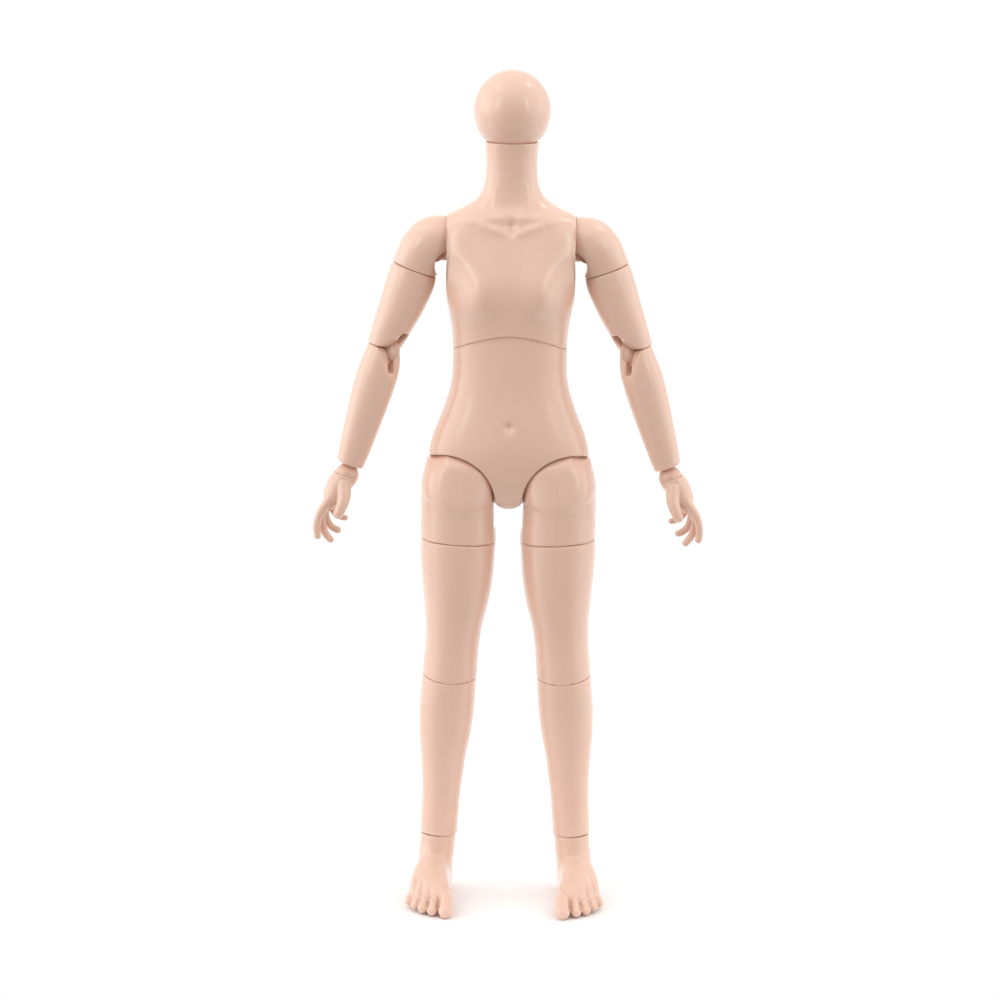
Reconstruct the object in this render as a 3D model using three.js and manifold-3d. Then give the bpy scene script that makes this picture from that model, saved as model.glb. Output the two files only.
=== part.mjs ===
// Jointed doll body with a plain ball for a head, standing with its arms a little away from its sides.
// Millimetres, +Z up, the doll faces -Y, its left side is +X, and the floor under its soles is Z = 0.
import * as THREE from "three";
import { mergeVertices } from "three/addons/utils/BufferGeometryUtils.js";
import Module from "manifold-3d";

const wasm = await Module();
wasm.setup();

// Clearance between pieces that touch or turn in each other
const GAP = 0.3;
// Faces that differ by less than this are joined
const FACET_TOLERANCE = 0.12;
// Past every piece, for the boxes that cut
const FAR = 400;

// Head and neck
const HEAD_Z = 257.1;
const HEAD_RADIUS = 12.2;
const HEAD_RISE = 12.9;
const NECK_TOP = 247.6;
const NECK_PIVOT_Z = 237;
const NECK_POST_RADIUS = 2.2;
const NOD = 20;

// Torso
const ARMHOLE_X = 20.4;
const WAIST_BALL_Z = 168.8;
const WAIST_BALL_RADIUS = 22;
const TURNTABLE_Z = 150;
const WAIST_WELL_RADIUS = 9.8;

// Shoulder, upper arm and elbow
const SHOULDER = { x: 24.5, z: 212 };
const SHOULDER_BALL_RADIUS = 12.1;
const SHOULDER_STEM_RADIUS = 3;
const ARM_LIFT = 52;
const ARM_DROP = 8;
const ARM_TILT = 20;
const BICEP = { x: 3.6, z: -7.3 };
const ELBOW_PIN_Z = -23.55;
const ELBOW_SPACING = 7;
const ELBOW_FOLD = 50;
const ELBOW_YAW = 38;
const FOREARM_TILT = 3.5;
const WRIST_Z = -43.2;
const FOREARM_END = -40.4;
const HAND_TOP = -42.4;
const WRIST_BALL_RADIUS = 3.3;

// Hip, thigh and knee
const HIP = { x: 19.75, z: 132.3 };
const HIP_BALL_RADIUS = 15.3;
const HIP_BALL_ROUND = 15.9;
const HIP_ROOM = 1.1;
const CROTCH_WALL = 4.6;
const CROTCH_ROUND = { radius: 4.9, z: 134.4 };
const LEG_SPREAD = 28;
const LEG_CLOSE = 3;
const LEG_TILT = 3.2;
const THIGH = { x: 15.8, z: 119 };
const KNEE_PIN_Z = -40.05;
const KNEE_SPACING = 10;
const KNEE_FOLD = 60;
const KNEECAP_LIP = 2.3;

// Ankle and foot
const SHIN_END = -98.15;
const ANKLE_Z = -101;
const ANKLE_X = 0.4;
const ANKLE_BALL_RADIUS = 4.6;
const FOOT_COLLAR = 2.4;
const FOOT_COLLAR_ROUND = 6;
const TOE_OUT = 8;
const SOLE_DEPTH = 18.15;

// Materials
const SKIN = { color: 0xe8c4ac, roughness: 0.42, metalness: 0 };
const JOINT = { color: 0xe2bca3, roughness: 0.38, metalness: 0 };
const STEEL = { color: 0xb9bcc0, roughness: 0.3, metalness: 1 };

const X = new THREE.Vector3(1, 0, 0);
const Y = new THREE.Vector3(0, 1, 0);
const Z = new THREE.Vector3(0, 0, 1);
const radians = THREE.MathUtils.degToRad;

// A closed geometry as a solid that can be cut and joined
function solid(geometry) {
  const bare = geometry.clone();
  bare.deleteAttribute("normal");
  bare.deleteAttribute("uv");
  const merged = mergeVertices(bare, 1e-4);
  const vertProperties = new Float32Array(merged.attributes.position.array);
  const triVerts = new Uint32Array(merged.index.array);
  return new wasm.Manifold(new wasm.Mesh({ numProp: 3, vertProperties, triVerts }));
}

// The geometry of a solid, without the slivers that a cut along a face can leave
function geometryOf(body) {
  const bodies = body.simplify(FACET_TOLERANCE).decompose();
  const whole = bodies.reduce((most, next) => (next.volume() > most.volume() ? next : most));
  const { vertProperties, triVerts } = whole.getMesh();
  const geometry = new THREE.BufferGeometry();
  geometry.setAttribute("position", new THREE.BufferAttribute(vertProperties, 3));
  geometry.setIndex(new THREE.BufferAttribute(triVerts, 1));
  const faces = geometry.toNonIndexed();
  faces.computeVertexNormals();
  return faces;
}

function cut(body, ...tools) {
  return tools.reduce((left, tool) => left.subtract(tool), body);
}

function join(body, ...others) {
  return others.reduce((sum, other) => sum.add(other), body);
}

// One named piece of the doll
function piece(name, body, parent, finish = SKIN) {
  const mesh = new THREE.Mesh(geometryOf(body), new THREE.MeshStandardMaterial(finish));
  mesh.name = name;
  parent.add(mesh);
  return mesh;
}

// A group that turns about its own origin, named after its joint
function pivot(name, parent, x = 0, y = 0, z = 0) {
  const group = new THREE.Group();
  group.name = name;
  group.position.set(x, y, z);
  parent.add(group);
  return group;
}

// A closed skin over rings of points, from the lowest ring to the highest
function skin(rings) {
  const sides = rings[0].length;
  const middle = (ring) =>
    ring.reduce((sum, p) => sum.add(p), new THREE.Vector3()).divideScalar(sides);
  const points = [...rings.flat(), middle(rings[0]), middle(rings.at(-1))];
  const top = (rings.length - 1) * sides;
  const low = rings.length * sides;
  const faces = [];
  for (let i = 0; i < sides; i++) {
    const next = (i + 1) % sides;
    for (let k = 0; k < top; k += sides) {
      faces.push(k + i, k + next, k + next + sides, k + i, k + next + sides, k + i + sides);
    }
    faces.push(low, next, i, low + 1, top + i, top + next);
  }
  const geometry = new THREE.BufferGeometry().setFromPoints(points);
  geometry.setIndex(faces);
  return geometry;
}

// A limb or trunk through a table of sections, each [height, half width, front, back, middle x].
// roundness 2 is an ellipse, and more is squarer; a sixth number gives a section its own.
function loft(table, { rows = 12, sides = 20, roundness = 2.1 } = {}) {
  const heights = table.map((row) => row[0]);
  const sizes = table.flatMap((row) => row.slice(1));
  const curve = new THREE.CubicInterpolant(heights, sizes, table[0].length - 1);
  const rings = [];
  for (let k = 0; k <= rows; k++) {
    const z = THREE.MathUtils.lerp(heights[0], heights.at(-1), k / rows);
    const [width, front, back, middle, round = roundness] = curve.evaluate(z);
    const ring = [];
    for (let i = 0; i < sides; i++) {
      const turn = (2 * Math.PI * i) / sides;
      const c = Math.cos(turn);
      const s = Math.sin(turn);
      const across = Math.sign(c) * Math.abs(c) ** (2 / round);
      const along = Math.sign(s) * Math.abs(s) ** (2 / round);
      ring.push(new THREE.Vector3(middle + width * across, along * (s < 0 ? front : back), z));
    }
    rings.push(ring);
  }
  return skin(rings);
}

// Raises a soft form on a skin: each point near the middle moves along `push`, less with distance
function swell(geometry, { x, z, wide, tall, push, back = false }) {
  const p = geometry.attributes.position;
  for (let i = 0; i < p.count; i++) {
    if (p.getY(i) > 0 !== back) continue;
    const far = ((p.getX(i) - x) / wide) ** 2 + ((p.getZ(i) - z) / tall) ** 2;
    const side = Math.min(1, Math.abs(p.getY(i)) / 4);
    p.setY(i, p.getY(i) + push * side * Math.exp(-far));
  }
  return geometry;
}

function box(x0, x1, y0, y1, z0, z1) {
  const geometry = new THREE.BoxGeometry(x1 - x0, y1 - y0, z1 - z0);
  return geometry.translate((x0 + x1) / 2, (y0 + y1) / 2, (z0 + z1) / 2);
}

function ball(radius, x, y, z, sides = 24) {
  return new THREE.SphereGeometry(radius, sides, sides / 2).rotateX(Math.PI / 2).translate(x, y, z);
}

// A round rod between two points
function rod(radius, from, to, sides = 10) {
  const start = new THREE.Vector3(...from);
  const span = new THREE.Vector3(...to).sub(start);
  const geometry = new THREE.CylinderGeometry(radius, radius, span.length(), sides);
  geometry.applyQuaternion(new THREE.Quaternion().setFromUnitVectors(Y, span.clone().normalize()));
  return geometry.translate(...start.addScaledVector(span, 0.5).toArray());
}

// An outline of [y, z] points as a plate that is thick along X, even about X = 0
function plate(points, thickness) {
  const shape = new THREE.Shape(points.map(([y, z]) => new THREE.Vector2(y, z)));
  const geometry = new THREE.ExtrudeGeometry(shape, { depth: thickness, bevelEnabled: false });
  geometry.translate(0, 0, -thickness / 2);
  return geometry.applyMatrix4(new THREE.Matrix4().makeBasis(Y, Z, X));
}

// The room for a tongue that hangs down from a pin along X and swings between two angles towards +Y
function swingRoom({ eye, half, reach, from, to, width }) {
  const at = (angle, side, r) => {
    const a = radians(angle);
    return [
      r * Math.sin(a) + side * half * Math.cos(a),
      -r * Math.cos(a) + side * half * Math.sin(a),
    ];
  };
  const outline = [
    at(from, -1, 0),
    at(from, -1, reach),
    at((from + to) / 2, 0, reach * 1.3),
    at(to, 1, reach),
    at(to, 1, 0),
  ];
  return join(
    solid(plate(outline, width)),
    solid(rod(eye, [-width / 2, 0, 0], [width / 2, 0, 0], 14)),
  );
}

// The same room as a geometry, for a hinge that lies another way
function turned(body, matrix) {
  const { vertProperties, triVerts } = body.getMesh();
  const geometry = new THREE.BufferGeometry();
  geometry.setAttribute("position", new THREE.BufferAttribute(vertProperties, 3));
  geometry.setIndex(new THREE.BufferAttribute(triVerts, 1));
  return solid(geometry.applyMatrix4(matrix));
}

const move = (x, y, z) => new THREE.Matrix4().makeTranslation(x, y, z);
const spin = (axis, degrees) => new THREE.Matrix4().makeRotationAxis(axis, radians(degrees));

// A tongue's room about a pin along Y, for a tongue that points inwards to -X and swings up from it
function sideSwingRoom(room, x, z) {
  const inwards = spin(Y, 90).multiply(spin(Z, -90));
  return turned(swingRoom(room), move(x, 0, z).multiply(inwards));
}

// Double hinges: two limbs roll on each other about two pins, held by a link between the pins

// What a double hinge leaves of a limb that rises from its pin and folds towards +Y.
// The lip is a cap that hangs over the other limb in front, and reach is past the limb's skin.
function hingeOutline({ spacing, fold, lip, reach }) {
  const r = spacing / 2 - GAP / 2;
  const points = [[-reach, 4 * reach]];
  const steps = 6;
  for (let i = 0; i <= steps; i++) {
    const t = i / steps;
    points.push([-reach * (1 - t), -r - lip * (1 - t) ** 2 * (1 + t)]);
  }
  for (let i = 1; i <= steps; i++) {
    const a = (radians(fold) * i) / steps;
    points.push([r * Math.sin(a), -r * Math.cos(a)]);
  }
  const last = points.at(-1);
  const run = reach - last[0];
  points.push([reach, last[1] + run * Math.tan(radians(fold))], [reach, 4 * reach]);
  return points;
}

// The slot for the link in the limb above the pins, open below and behind
function hingeSlot(room, reach, deep) {
  const points = [[-room, -deep]];
  const steps = 6;
  for (let i = 0; i <= steps; i++) {
    const a = (Math.PI / 2) * (1 - i / steps);
    points.push([-room * Math.sin(a), room * Math.cos(a)]);
  }
  points.push([reach, room], [reach, -deep]);
  return points;
}

// Cuts a limb's end for a double hinge with its pin at the given place.
// side is 1 for the limb above the pins and -1 for the one below, and yaw turns the fold about Z.
function hingeEnd(limb, hinge, side, place, yaw) {
  const { spacing, reach, linkRadius, linkWidth, pinRadius, pinLength } = hinge;
  const set = move(...place).multiply(spin(Z, yaw));
  const put = (geometry) => solid(geometry.applyMatrix4(set));
  const cutOut = (outline, width) => put(plate(outline.map(([y, z]) => [y, side * z]), width));
  const half = pinLength / 2 + GAP;
  return cut(
    limb.intersect(cutOut(hingeOutline({ ...hinge, lip: side * hinge.lip }), 4 * reach)),
    cutOut(hingeSlot(linkRadius + GAP, 1.5 * reach, 2 * spacing), linkWidth + 2 * GAP),
    put(rod(pinRadius + GAP, [-half, 0, 0], [half, 0, 0], 10)),
  );
}

// The link of a double hinge, its upper pin at the origin, with a knob on the side that folds
function hingeLink({ spacing, linkRadius, linkWidth, pinRadius, knob }, yaw) {
  const points = [];
  const steps = 8;
  for (let i = 0; i <= steps; i++) {
    const a = (Math.PI * i) / steps;
    points.push([linkRadius * Math.cos(a), linkRadius * Math.sin(a)]);
  }
  for (let i = 0; i <= steps; i++) {
    const a = Math.PI + (Math.PI * i) / steps;
    points.push([linkRadius * Math.cos(a), linkRadius * Math.sin(a) - spacing]);
  }
  const hole = (z) => solid(rod(pinRadius + GAP, [-linkWidth, 0, z], [linkWidth, 0, z], 10));
  const middle = [-linkWidth / 2, linkWidth / 2].map((x) => [x, knob.y, -spacing / 2]);
  const flat = join(solid(plate(points, linkWidth)), solid(rod(knob.radius, ...middle, 20)));
  const link = cut(flat, hole(0), hole(-spacing));
  return turned(link, spin(Z, yaw));
}

function hingePin({ pinRadius, pinLength }, yaw, z) {
  const pin = rod(pinRadius, [-pinLength / 2, 0, 0], [pinLength / 2, 0, 0], 10);
  return solid(pin.rotateZ(radians(yaw)).translate(0, 0, z));
}

const KNEE = {
  spacing: KNEE_SPACING,
  fold: KNEE_FOLD,
  lip: KNEECAP_LIP,
  reach: 13,
  linkRadius: 4,
  linkWidth: 5,
  pinRadius: 1.5,
  pinLength: 13,
  knob: { y: 0, radius: 3.5 },
};
const ELBOW = {
  spacing: ELBOW_SPACING,
  fold: ELBOW_FOLD,
  lip: 0,
  reach: 9,
  linkRadius: 3,
  linkWidth: 3.8,
  pinRadius: 1,
  pinLength: 8,
  knob: { y: 2.4, radius: 3.4 },
};

// Trunk

const CHEST_SECTIONS = [
  [170, 17.6, 12, 11.4, 0, 2.35],
  [176, 17.9, 12.1, 11.5, 0, 2.35],
  [181, 18.2, 12.4, 11.6, 0, 2.35],
  [187, 18.6, 13, 12, 0, 2.4],
  [193, 19.4, 13.6, 12.6, 0, 2.5],
  [200, 22, 13.8, 13.2, 0, 2.7],
  [207, 27, 13.6, 13.6, 0, 3],
  [213, 30, 13.3, 13.5, 0, 3.1],
  [219, 28.5, 12.2, 12.9, 0, 3],
  [222.4, 24, 11, 12.2, 0, 2.7],
  [224.6, 19.8, 10.2, 11.6, 0, 2.45],
  [226.4, 15.9, 9.6, 10.9, 0, 2.35],
  [227.8, 13.2, 9.1, 10.3, 0, 2.35],
  [229.5, 10.9, 8.7, 9.7, 0, 2.3],
  [232.2, 9.2, 8.3, 9.1, 0, 2.3],
  [235, 8.4, 8.1, 8.7, 0, 2.3],
  [239, 8.1, 8, 8.4, 0, 2.3],
  [243, 8.2, 8.1, 8.2, 0, 2.3],
  [NECK_TOP, 8.5, 8.5, 8.5, 0, 2.3],
];
// Soft forms on both sides
const BREAST = { x: 8.6, z: 203, wide: 7.2, tall: 9.5, push: -3.4 };
const COLLARBONE = { x: 9.5, z: 224, wide: 7, tall: 2, push: -1 };
const SHOULDER_BLADE = { x: 9, z: 214, wide: 6, tall: 8, push: 0.9, back: true };
const CHEST_PAIRS = [BREAST, COLLARBONE, SHOULDER_BLADE];
// Soft forms in the middle
const THROAT_NOTCH = { x: 0, z: 221.8, wide: 2.4, tall: 2.2, push: 1.2 };
const SPINE_LINE = { x: 0, z: 200, wide: 2.6, tall: 22, push: -0.9, back: true };
const CHEST_MIDDLE = [THROAT_NOTCH, SPINE_LINE];

// Raises a list of soft forms on both sides and one in the middle
function shaped(form, pairs, middle) {
  for (const pair of pairs) {
    swell(form, pair);
    swell(form, { ...pair, x: -pair.x });
  }
  middle.forEach((one) => swell(form, one));
  return solid(form);
}

function chestForm() {
  const form = loft(CHEST_SECTIONS, { rows: 14, sides: 20 });
  const between = box(-ARMHOLE_X, ARMHOLE_X, -FAR, FAR, -FAR, FAR);
  return shaped(form, CHEST_PAIRS, CHEST_MIDDLE).intersect(solid(between));
}

const STEM_END_X = 9.4;
const COLLAR_RADIUS = 5;
const COLLAR_WIDTH = 2;

function chest() {
  const neckBore = rod(NECK_POST_RADIUS + GAP, [0, 0, NECK_PIVOT_Z], [0, 0, NECK_TOP + 3]);
  const pocketEnds = [-1, 1].map((way) => [0, 0, NECK_PIVOT_Z + way * (COLLAR_WIDTH / 2 + GAP)]);
  const neckPocket = rod(COLLAR_RADIUS + GAP, ...pocketEnds, 14);
  const postBore = rod(3 + GAP, [0, 0, 185], [0, 0, 200 + GAP]);
  const hollows = [
    ball(HEAD_RISE + GAP / 2, 0, 0, HEAD_Z, 20),
    ball(WAIST_BALL_RADIUS + GAP, 0, 0, WAIST_BALL_Z, 28),
    neckBore,
    neckPocket,
    postBore,
  ];
  for (const side of [-1, 1]) {
    const pocket = [STEM_END_X - GAP, STEM_END_X + COLLAR_WIDTH + GAP].map((x) => [side * x, 0, SHOULDER.z]);
    hollows.push(
      ball(SHOULDER_BALL_RADIUS + GAP, side * SHOULDER.x, 0, SHOULDER.z, 20),
      rod(SHOULDER_STEM_RADIUS + GAP, [side * STEM_END_X, 0, SHOULDER.z], [side * SHOULDER.x, 0, SHOULDER.z]),
      rod(COLLAR_RADIUS + GAP, ...pocket, 20),
    );
  }
  return cut(chestForm(), ...hollows.map(solid));
}

const PELVIS_SECTIONS = [
  [129.6, 20, 4.6, 5.6, 0],
  [131.5, 22, 7, 8, 0],
  [135, 24, 9.2, 10.8, 0],
  [141, 25.2, 11.4, 13.2, 0],
  [146.5, 25.7, 12.6, 14.4, 0],
  [150, 25.2, 12.9, 14.6, 0],
  [154.5, 23.9, 12.8, 14, 0],
  [160, 21.7, 12.6, 12.8, 0],
  [165, 20, 12.3, 11.8, 0],
  [169, 18.9, 12.1, 11.4, 0],
  [174, 18.3, 12, 11.3, 0],
  [181, 18.3, 12.1, 11.4, 0],
  [192, 18.6, 12.4, 11.6, 0],
];

// Soft forms on both sides: buttocks
const PELVIS_PAIRS = [{ x: 10, z: 145, wide: 8, tall: 9, push: 2, back: true }];
// Soft forms in the middle: the belly, the navel, and the cleft behind
const PELVIS_MIDDLE = [
  { x: 0, z: 152, wide: 9, tall: 9, push: -1 },
  { x: 0, z: 157.5, wide: 1.3, tall: 1.5, push: 1.4 },
  { x: 0, z: 146, wide: 2.2, tall: 10, push: -2.2, back: true },
];

function pelvisForm() {
  const form = loft(PELVIS_SECTIONS, { rows: 12, sides: 24, roundness: 2.3 });
  const { radius, z } = CROTCH_ROUND;
  return shaped(form, PELVIS_PAIRS, PELVIS_MIDDLE).intersect(
    join(
      solid(ball(WAIST_BALL_RADIUS, 0, 0, WAIST_BALL_Z, 28)),
      solid(box(-FAR, FAR, -FAR, FAR, z, WAIST_BALL_Z + 3)),
      solid(rod(radius, [0, -FAR, z], [0, FAR, z], 24)),
    ),
  );
}

// The round form of a thigh's top end, or of the room around it
function hipDome(room, sides) {
  const across = HIP_BALL_RADIUS + room;
  const round = HIP_BALL_ROUND + room;
  return ball(1, 0, 0, 0, sides).scale(across, round, round).translate(HIP.x, 0, HIP.z);
}

function pelvis() {
  const tools = [
    rod(WAIST_WELL_RADIUS, [0, 0, TURNTABLE_Z - GAP], [0, 0, FAR], 14),
    rod(3 + GAP, [0, 0, TURNTABLE_Z - 6 - GAP], [0, 0, TURNTABLE_Z]),
    rod(1.6 + GAP, [-20, 0, HIP.z], [20, 0, HIP.z], 8),
  ];
  for (const side of [-1, 1]) {
    const x = side * HIP.x;
    tools.push(
      rod(HIP_BALL_RADIUS + GAP, [x, -FAR, HIP.z], [x, FAR, HIP.z], 24),
      hipDome(HIP_ROOM, 24).translate(x - HIP.x, 0, 0),
    );
  }
  return cut(pelvisForm(), ...tools.map(solid));
}

// Splits a shell into its front and back halves, which meet at Y = 0
function halves(body) {
  return {
    front: body.intersect(solid(box(-FAR, FAR, -FAR, -GAP / 2, -FAR, FAR))),
    back: body.intersect(solid(box(-FAR, FAR, GAP / 2, FAR, -FAR, FAR))),
  };
}

// Neck and head

const HEAD_EYE = 3.4;
const HEAD_PIN_RADIUS = 1.1;
const HEAD_PIN_HALF = 7.5;

function neckPost() {
  const hole = rod(HEAD_PIN_RADIUS + GAP, [-5, 0, HEAD_Z], [5, 0, HEAD_Z], 8);
  return cut(
    join(
      solid(rod(NECK_POST_RADIUS, [0, 0, NECK_PIVOT_Z - 1], [0, 0, HEAD_Z])),
      solid(rod(COLLAR_RADIUS, [0, 0, NECK_PIVOT_Z - 1], [0, 0, NECK_PIVOT_Z + 1], 14)),
      solid(rod(HEAD_EYE, [-2.5, 0, HEAD_Z], [2.5, 0, HEAD_Z], 14)),
    ),
    solid(hole),
  );
}

function headBall() {
  const room = swingRoom({
    eye: HEAD_EYE + GAP,
    half: NECK_POST_RADIUS + GAP,
    reach: 16,
    from: -NOD - 2,
    to: NOD + 2,
    width: 5.6,
  });
  const skull = new THREE.SphereGeometry(HEAD_RADIUS, 20, 12).rotateX(Math.PI / 2);
  const reach = HEAD_PIN_HALF + GAP;
  return cut(
    solid(skull.scale(1, 1, HEAD_RISE / HEAD_RADIUS)),
    room,
    solid(rod(HEAD_PIN_RADIUS + GAP, [-reach, 0, 0], [reach, 0, 0], 8)),
  );
}

// Waist: a turntable carries a cross, and the chest's post hangs on the cross

const CROSS_ARM = 1.4;
const CROSS_HALF = 7.2;

function turntable() {
  const top = WAIST_BALL_Z + 2.8;
  const cheek = (side) => box(...(side > 0 ? [4.8, 7] : [-7, -4.8]), -2.6, 2.6, TURNTABLE_Z, top);
  const hole = rod(CROSS_ARM + GAP, [-9, 0, WAIST_BALL_Z], [9, 0, WAIST_BALL_Z], 8);
  return cut(
    join(
      solid(rod(7.6, [0, 0, TURNTABLE_Z], [0, 0, TURNTABLE_Z + 3], 24)),
      solid(rod(3, [0, 0, TURNTABLE_Z - 6], [0, 0, TURNTABLE_Z + 1])),
      solid(cheek(1)),
      solid(cheek(-1)),
    ),
    solid(hole),
  );
}

function waistCross() {
  const z = WAIST_BALL_Z;
  return join(
    solid(ball(3.4, 0, 0, z, 10)),
    solid(rod(CROSS_ARM, [-CROSS_HALF, 0, z], [CROSS_HALF, 0, z], 8)),
    solid(rod(CROSS_ARM, [0, -CROSS_HALF, z], [0, CROSS_HALF, z], 8)),
  );
}

function chestPost() {
  const z = WAIST_BALL_Z;
  const cheek = (side) => box(-2.6, 2.6, ...(side > 0 ? [4.8, 7] : [-7, -4.8]), z - 2.8, z + 9);
  return cut(
    join(
      solid(rod(3, [0, 0, z + 7], [0, 0, 200])),
      solid(box(-2.6, 2.6, -7, 7, z + 6.4, z + 9)),
      solid(cheek(1)),
      solid(cheek(-1)),
    ),
    solid(rod(CROSS_ARM + GAP, [0, -9, z], [0, 9, z], 8)),
  );
}

// Arm pieces, for the doll's left side

const SHOULDER_EYE = 3.4;
const SHOULDER_TONGUE = 5;
const SHOULDER_PIN = { radius: 1.2, half: 6.8 };

function shoulderJoint() {
  const { x, z } = SHOULDER;
  const half = SHOULDER_TONGUE / 2;
  const pinHole = rod(SHOULDER_PIN.radius + GAP, [x, -9, z], [x, 9, z], 8);
  const stem = rod(SHOULDER_STEM_RADIUS, [STEM_END_X, 0, z], [x, 0, z], 14);
  const flat = box(STEM_END_X - 1, x + 5, -half, half, z - 5, z + 5);
  const round = box(STEM_END_X - 1, x - SHOULDER_BALL_RADIUS + 2, -5, 5, z - 5, z + 5);
  return cut(
    join(
      solid(stem).intersect(join(solid(flat), solid(round))),
      solid(rod(COLLAR_RADIUS, [STEM_END_X, 0, z], [STEM_END_X + COLLAR_WIDTH, 0, z], 14)),
      solid(rod(SHOULDER_EYE, [x, -half, z], [x, half, z], 14)),
    ),
    solid(pinHole),
  );
}

const CAP_SECTIONS = [
  [-7.15, 7.4, 7.5, 7.5, 3.8],
  [-4.85, 7.7, 8, 8, 3.5],
  [-2, 8.3, 8.6, 8.6, 2.8],
  [0.9, 8.8, 9.1, 9.1, 2.1],
  [3.9, 8.8, 9.1, 9.1, 1.2],
  [7, 8.4, 8.4, 8.4, 0.2],
  [9.8, 6.6, 6.6, 6.6, -0.7],
  [11.4, 4, 4.2, 4.2, -1.2],
  [12.2, 1.4, 1.4, 1.4, -1.4],
];
const PEG = { radius: 3.2, length: 3.2 };

// Built about the shoulder's centre, with the arm's own axis as Z
function shoulderCap() {
  const level = spin(Y, ARM_TILT);
  const room = sideSwingRoom(
    {
      eye: SHOULDER_EYE + GAP,
      half: SHOULDER_STEM_RADIUS + GAP,
      reach: 15,
      from: -ARM_LIFT,
      to: ARM_DROP,
      width: SHOULDER_TONGUE + 2 * GAP + 0.4,
    },
    0,
    0,
  );
  const armpit = rod(5.7, [-6, -20, -4.6], [-6, 20, -4.6], 24);
  const hole = SHOULDER_PIN.half + GAP;
  const collar = BICEP.z + PEG.length + GAP;
  return cut(
    solid(loft(CAP_SECTIONS, { rows: 7, sides: 16, roundness: 2.2 })).intersect(
      join(solid(ball(SHOULDER_BALL_RADIUS, 0, 0, 0, 18)), solid(box(2, FAR, -FAR, FAR, -FAR, 2))),
    ),
    turned(join(room, solid(armpit)), level),
    solid(rod(SHOULDER_PIN.radius + GAP, [0, -hole, 0], [0, hole, 0], 8)),
    solid(rod(PEG.radius + GAP, [BICEP.x, 0, BICEP.z - 1], [BICEP.x, 0, collar])),
  );
}

const UPPER_ARM_SECTIONS = [
  [-31, 5.3, 5.4, 5.4, 0.6],
  [-25, 5.6, 5.7, 5.7, 0.6],
  [-20, 6.2, 6.3, 6.3, 0.4],
  [-14, 6.9, 6.9, 6.9, 0],
  [-9, 7.4, 7.2, 7.2, -0.1],
  [-4, 7.7, 7.4, 7.4, -0.1],
  [-GAP / 2, 7.4, 7.3, 7.3, 0.2],
];
const FOREARM_SECTIONS = [
  [FOREARM_END, 4.3, 4.4, 4.4, 0],
  [-34, 5.05, 5, 5, 0],
  [-26, 5.7, 5.5, 5.5, 0],
  [-18, 6.3, 6, 6, 0],
  [-10, 6.6, 6.3, 6.3, 0],
  [-5, 6.2, 6.1, 6.1, 0],
  [-1, 5.8, 5.8, 5.8, 0],
  [4, 5.5, 5.6, 5.6, 0],
];
const ELBOW_TURN = 90 + ELBOW_YAW;

function upperArm() {
  const limb = join(
    solid(loft(UPPER_ARM_SECTIONS, { rows: 5, sides: 14 })),
    solid(rod(PEG.radius, [0, 0, -2], [0, 0, PEG.length - GAP / 2])),
  );
  return hingeEnd(limb, ELBOW, 1, [0, 0, ELBOW_PIN_Z], ELBOW_TURN);
}

// Built about the lower elbow pin, in line with the upper arm
function forearm() {
  const lean = move(0, 0, ELBOW_SPACING / 2).multiply(spin(Y, FOREARM_TILT));
  const limb = cut(
    solid(loft(FOREARM_SECTIONS, { rows: 6, sides: 14 })),
    solid(rod(WRIST_PEG.radius + GAP, [0, 0, FOREARM_END - 1], [0, 0, FOREARM_END + WRIST_PEG.length + GAP])),
    solid(ball(WRIST_BALL_RADIUS + GAP, 0, 0, WRIST_Z, 12)),
  );
  return hingeEnd(turned(limb, lean), ELBOW, -1, [0, 0, 0], ELBOW_TURN);
}

const WRIST_PEG = { radius: 1.9, length: 7 };
const WRIST_PIN = { radius: 0.7, half: 3.1 };

// Built about the wrist's centre
function wristJoint() {
  return cut(
    join(
      solid(ball(WRIST_BALL_RADIUS, 0, 0, 0, 12)),
      solid(rod(WRIST_PEG.radius, [0, 0, 0], [0, 0, FOREARM_END - WRIST_Z + WRIST_PEG.length])),
    ),
    solid(rod(WRIST_PIN.radius + GAP, [0, -5, 0], [0, 5, 0], 8)),
  );
}

const PALM_SECTIONS = [
  [-11.2, 1.7, 4.4, 4.2, 3.1],
  [-9.4, 2.6, 5.2, 4.9, 2.7],
  [-7, 3.3, 5.4, 5, 2.2],
  [-4, 4.1, 5, 4.7, 1.3],
  [-1.5, 4.3, 4.5, 4.4, 0.6],
  [HAND_TOP - WRIST_Z, 4, 4.3, 4.3, 0.1],
];

const THUMB = [2.5, 1.55];
// Each finger: points [x, y, z] from its knuckle to its tip and the radius at both ends.
// The palm faces -X, the thumb is in front, and the fingers curl more towards the little finger.
const FINGERS = [
  { points: [[2.9, -4, -8], [4.6, -4.5, -13.5], [4.5, -4.3, -18], [2.9, -4.1, -22.4]], thick: [1.55, 1.15] },
  { points: [[2.9, -1.4, -8.5], [4, -1.5, -15], [1.6, -1.5, -19.8], [-2, -1.4, -22.4]], thick: [1.6, 1.15] },
  { points: [[2.8, 1.3, -8.5], [3.2, 1.3, -14.2], [0.2, 1.2, -18], [-3.6, 1.1, -18.8]], thick: [1.5, 1.1] },
  { points: [[2.6, 3.7, -7.5], [2.2, 3.7, -12.4], [-1, 3.5, -14.8], [-4.6, 3.4, -14.6]], thick: [1.35, 1] },
  { points: [[0.2, -2.8, -2.6], [-1.2, -5, -6.4], [-1.2, -6.2, -10], [-0.6, -6.6, -13.6]], thick: THUMB },
];

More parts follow.
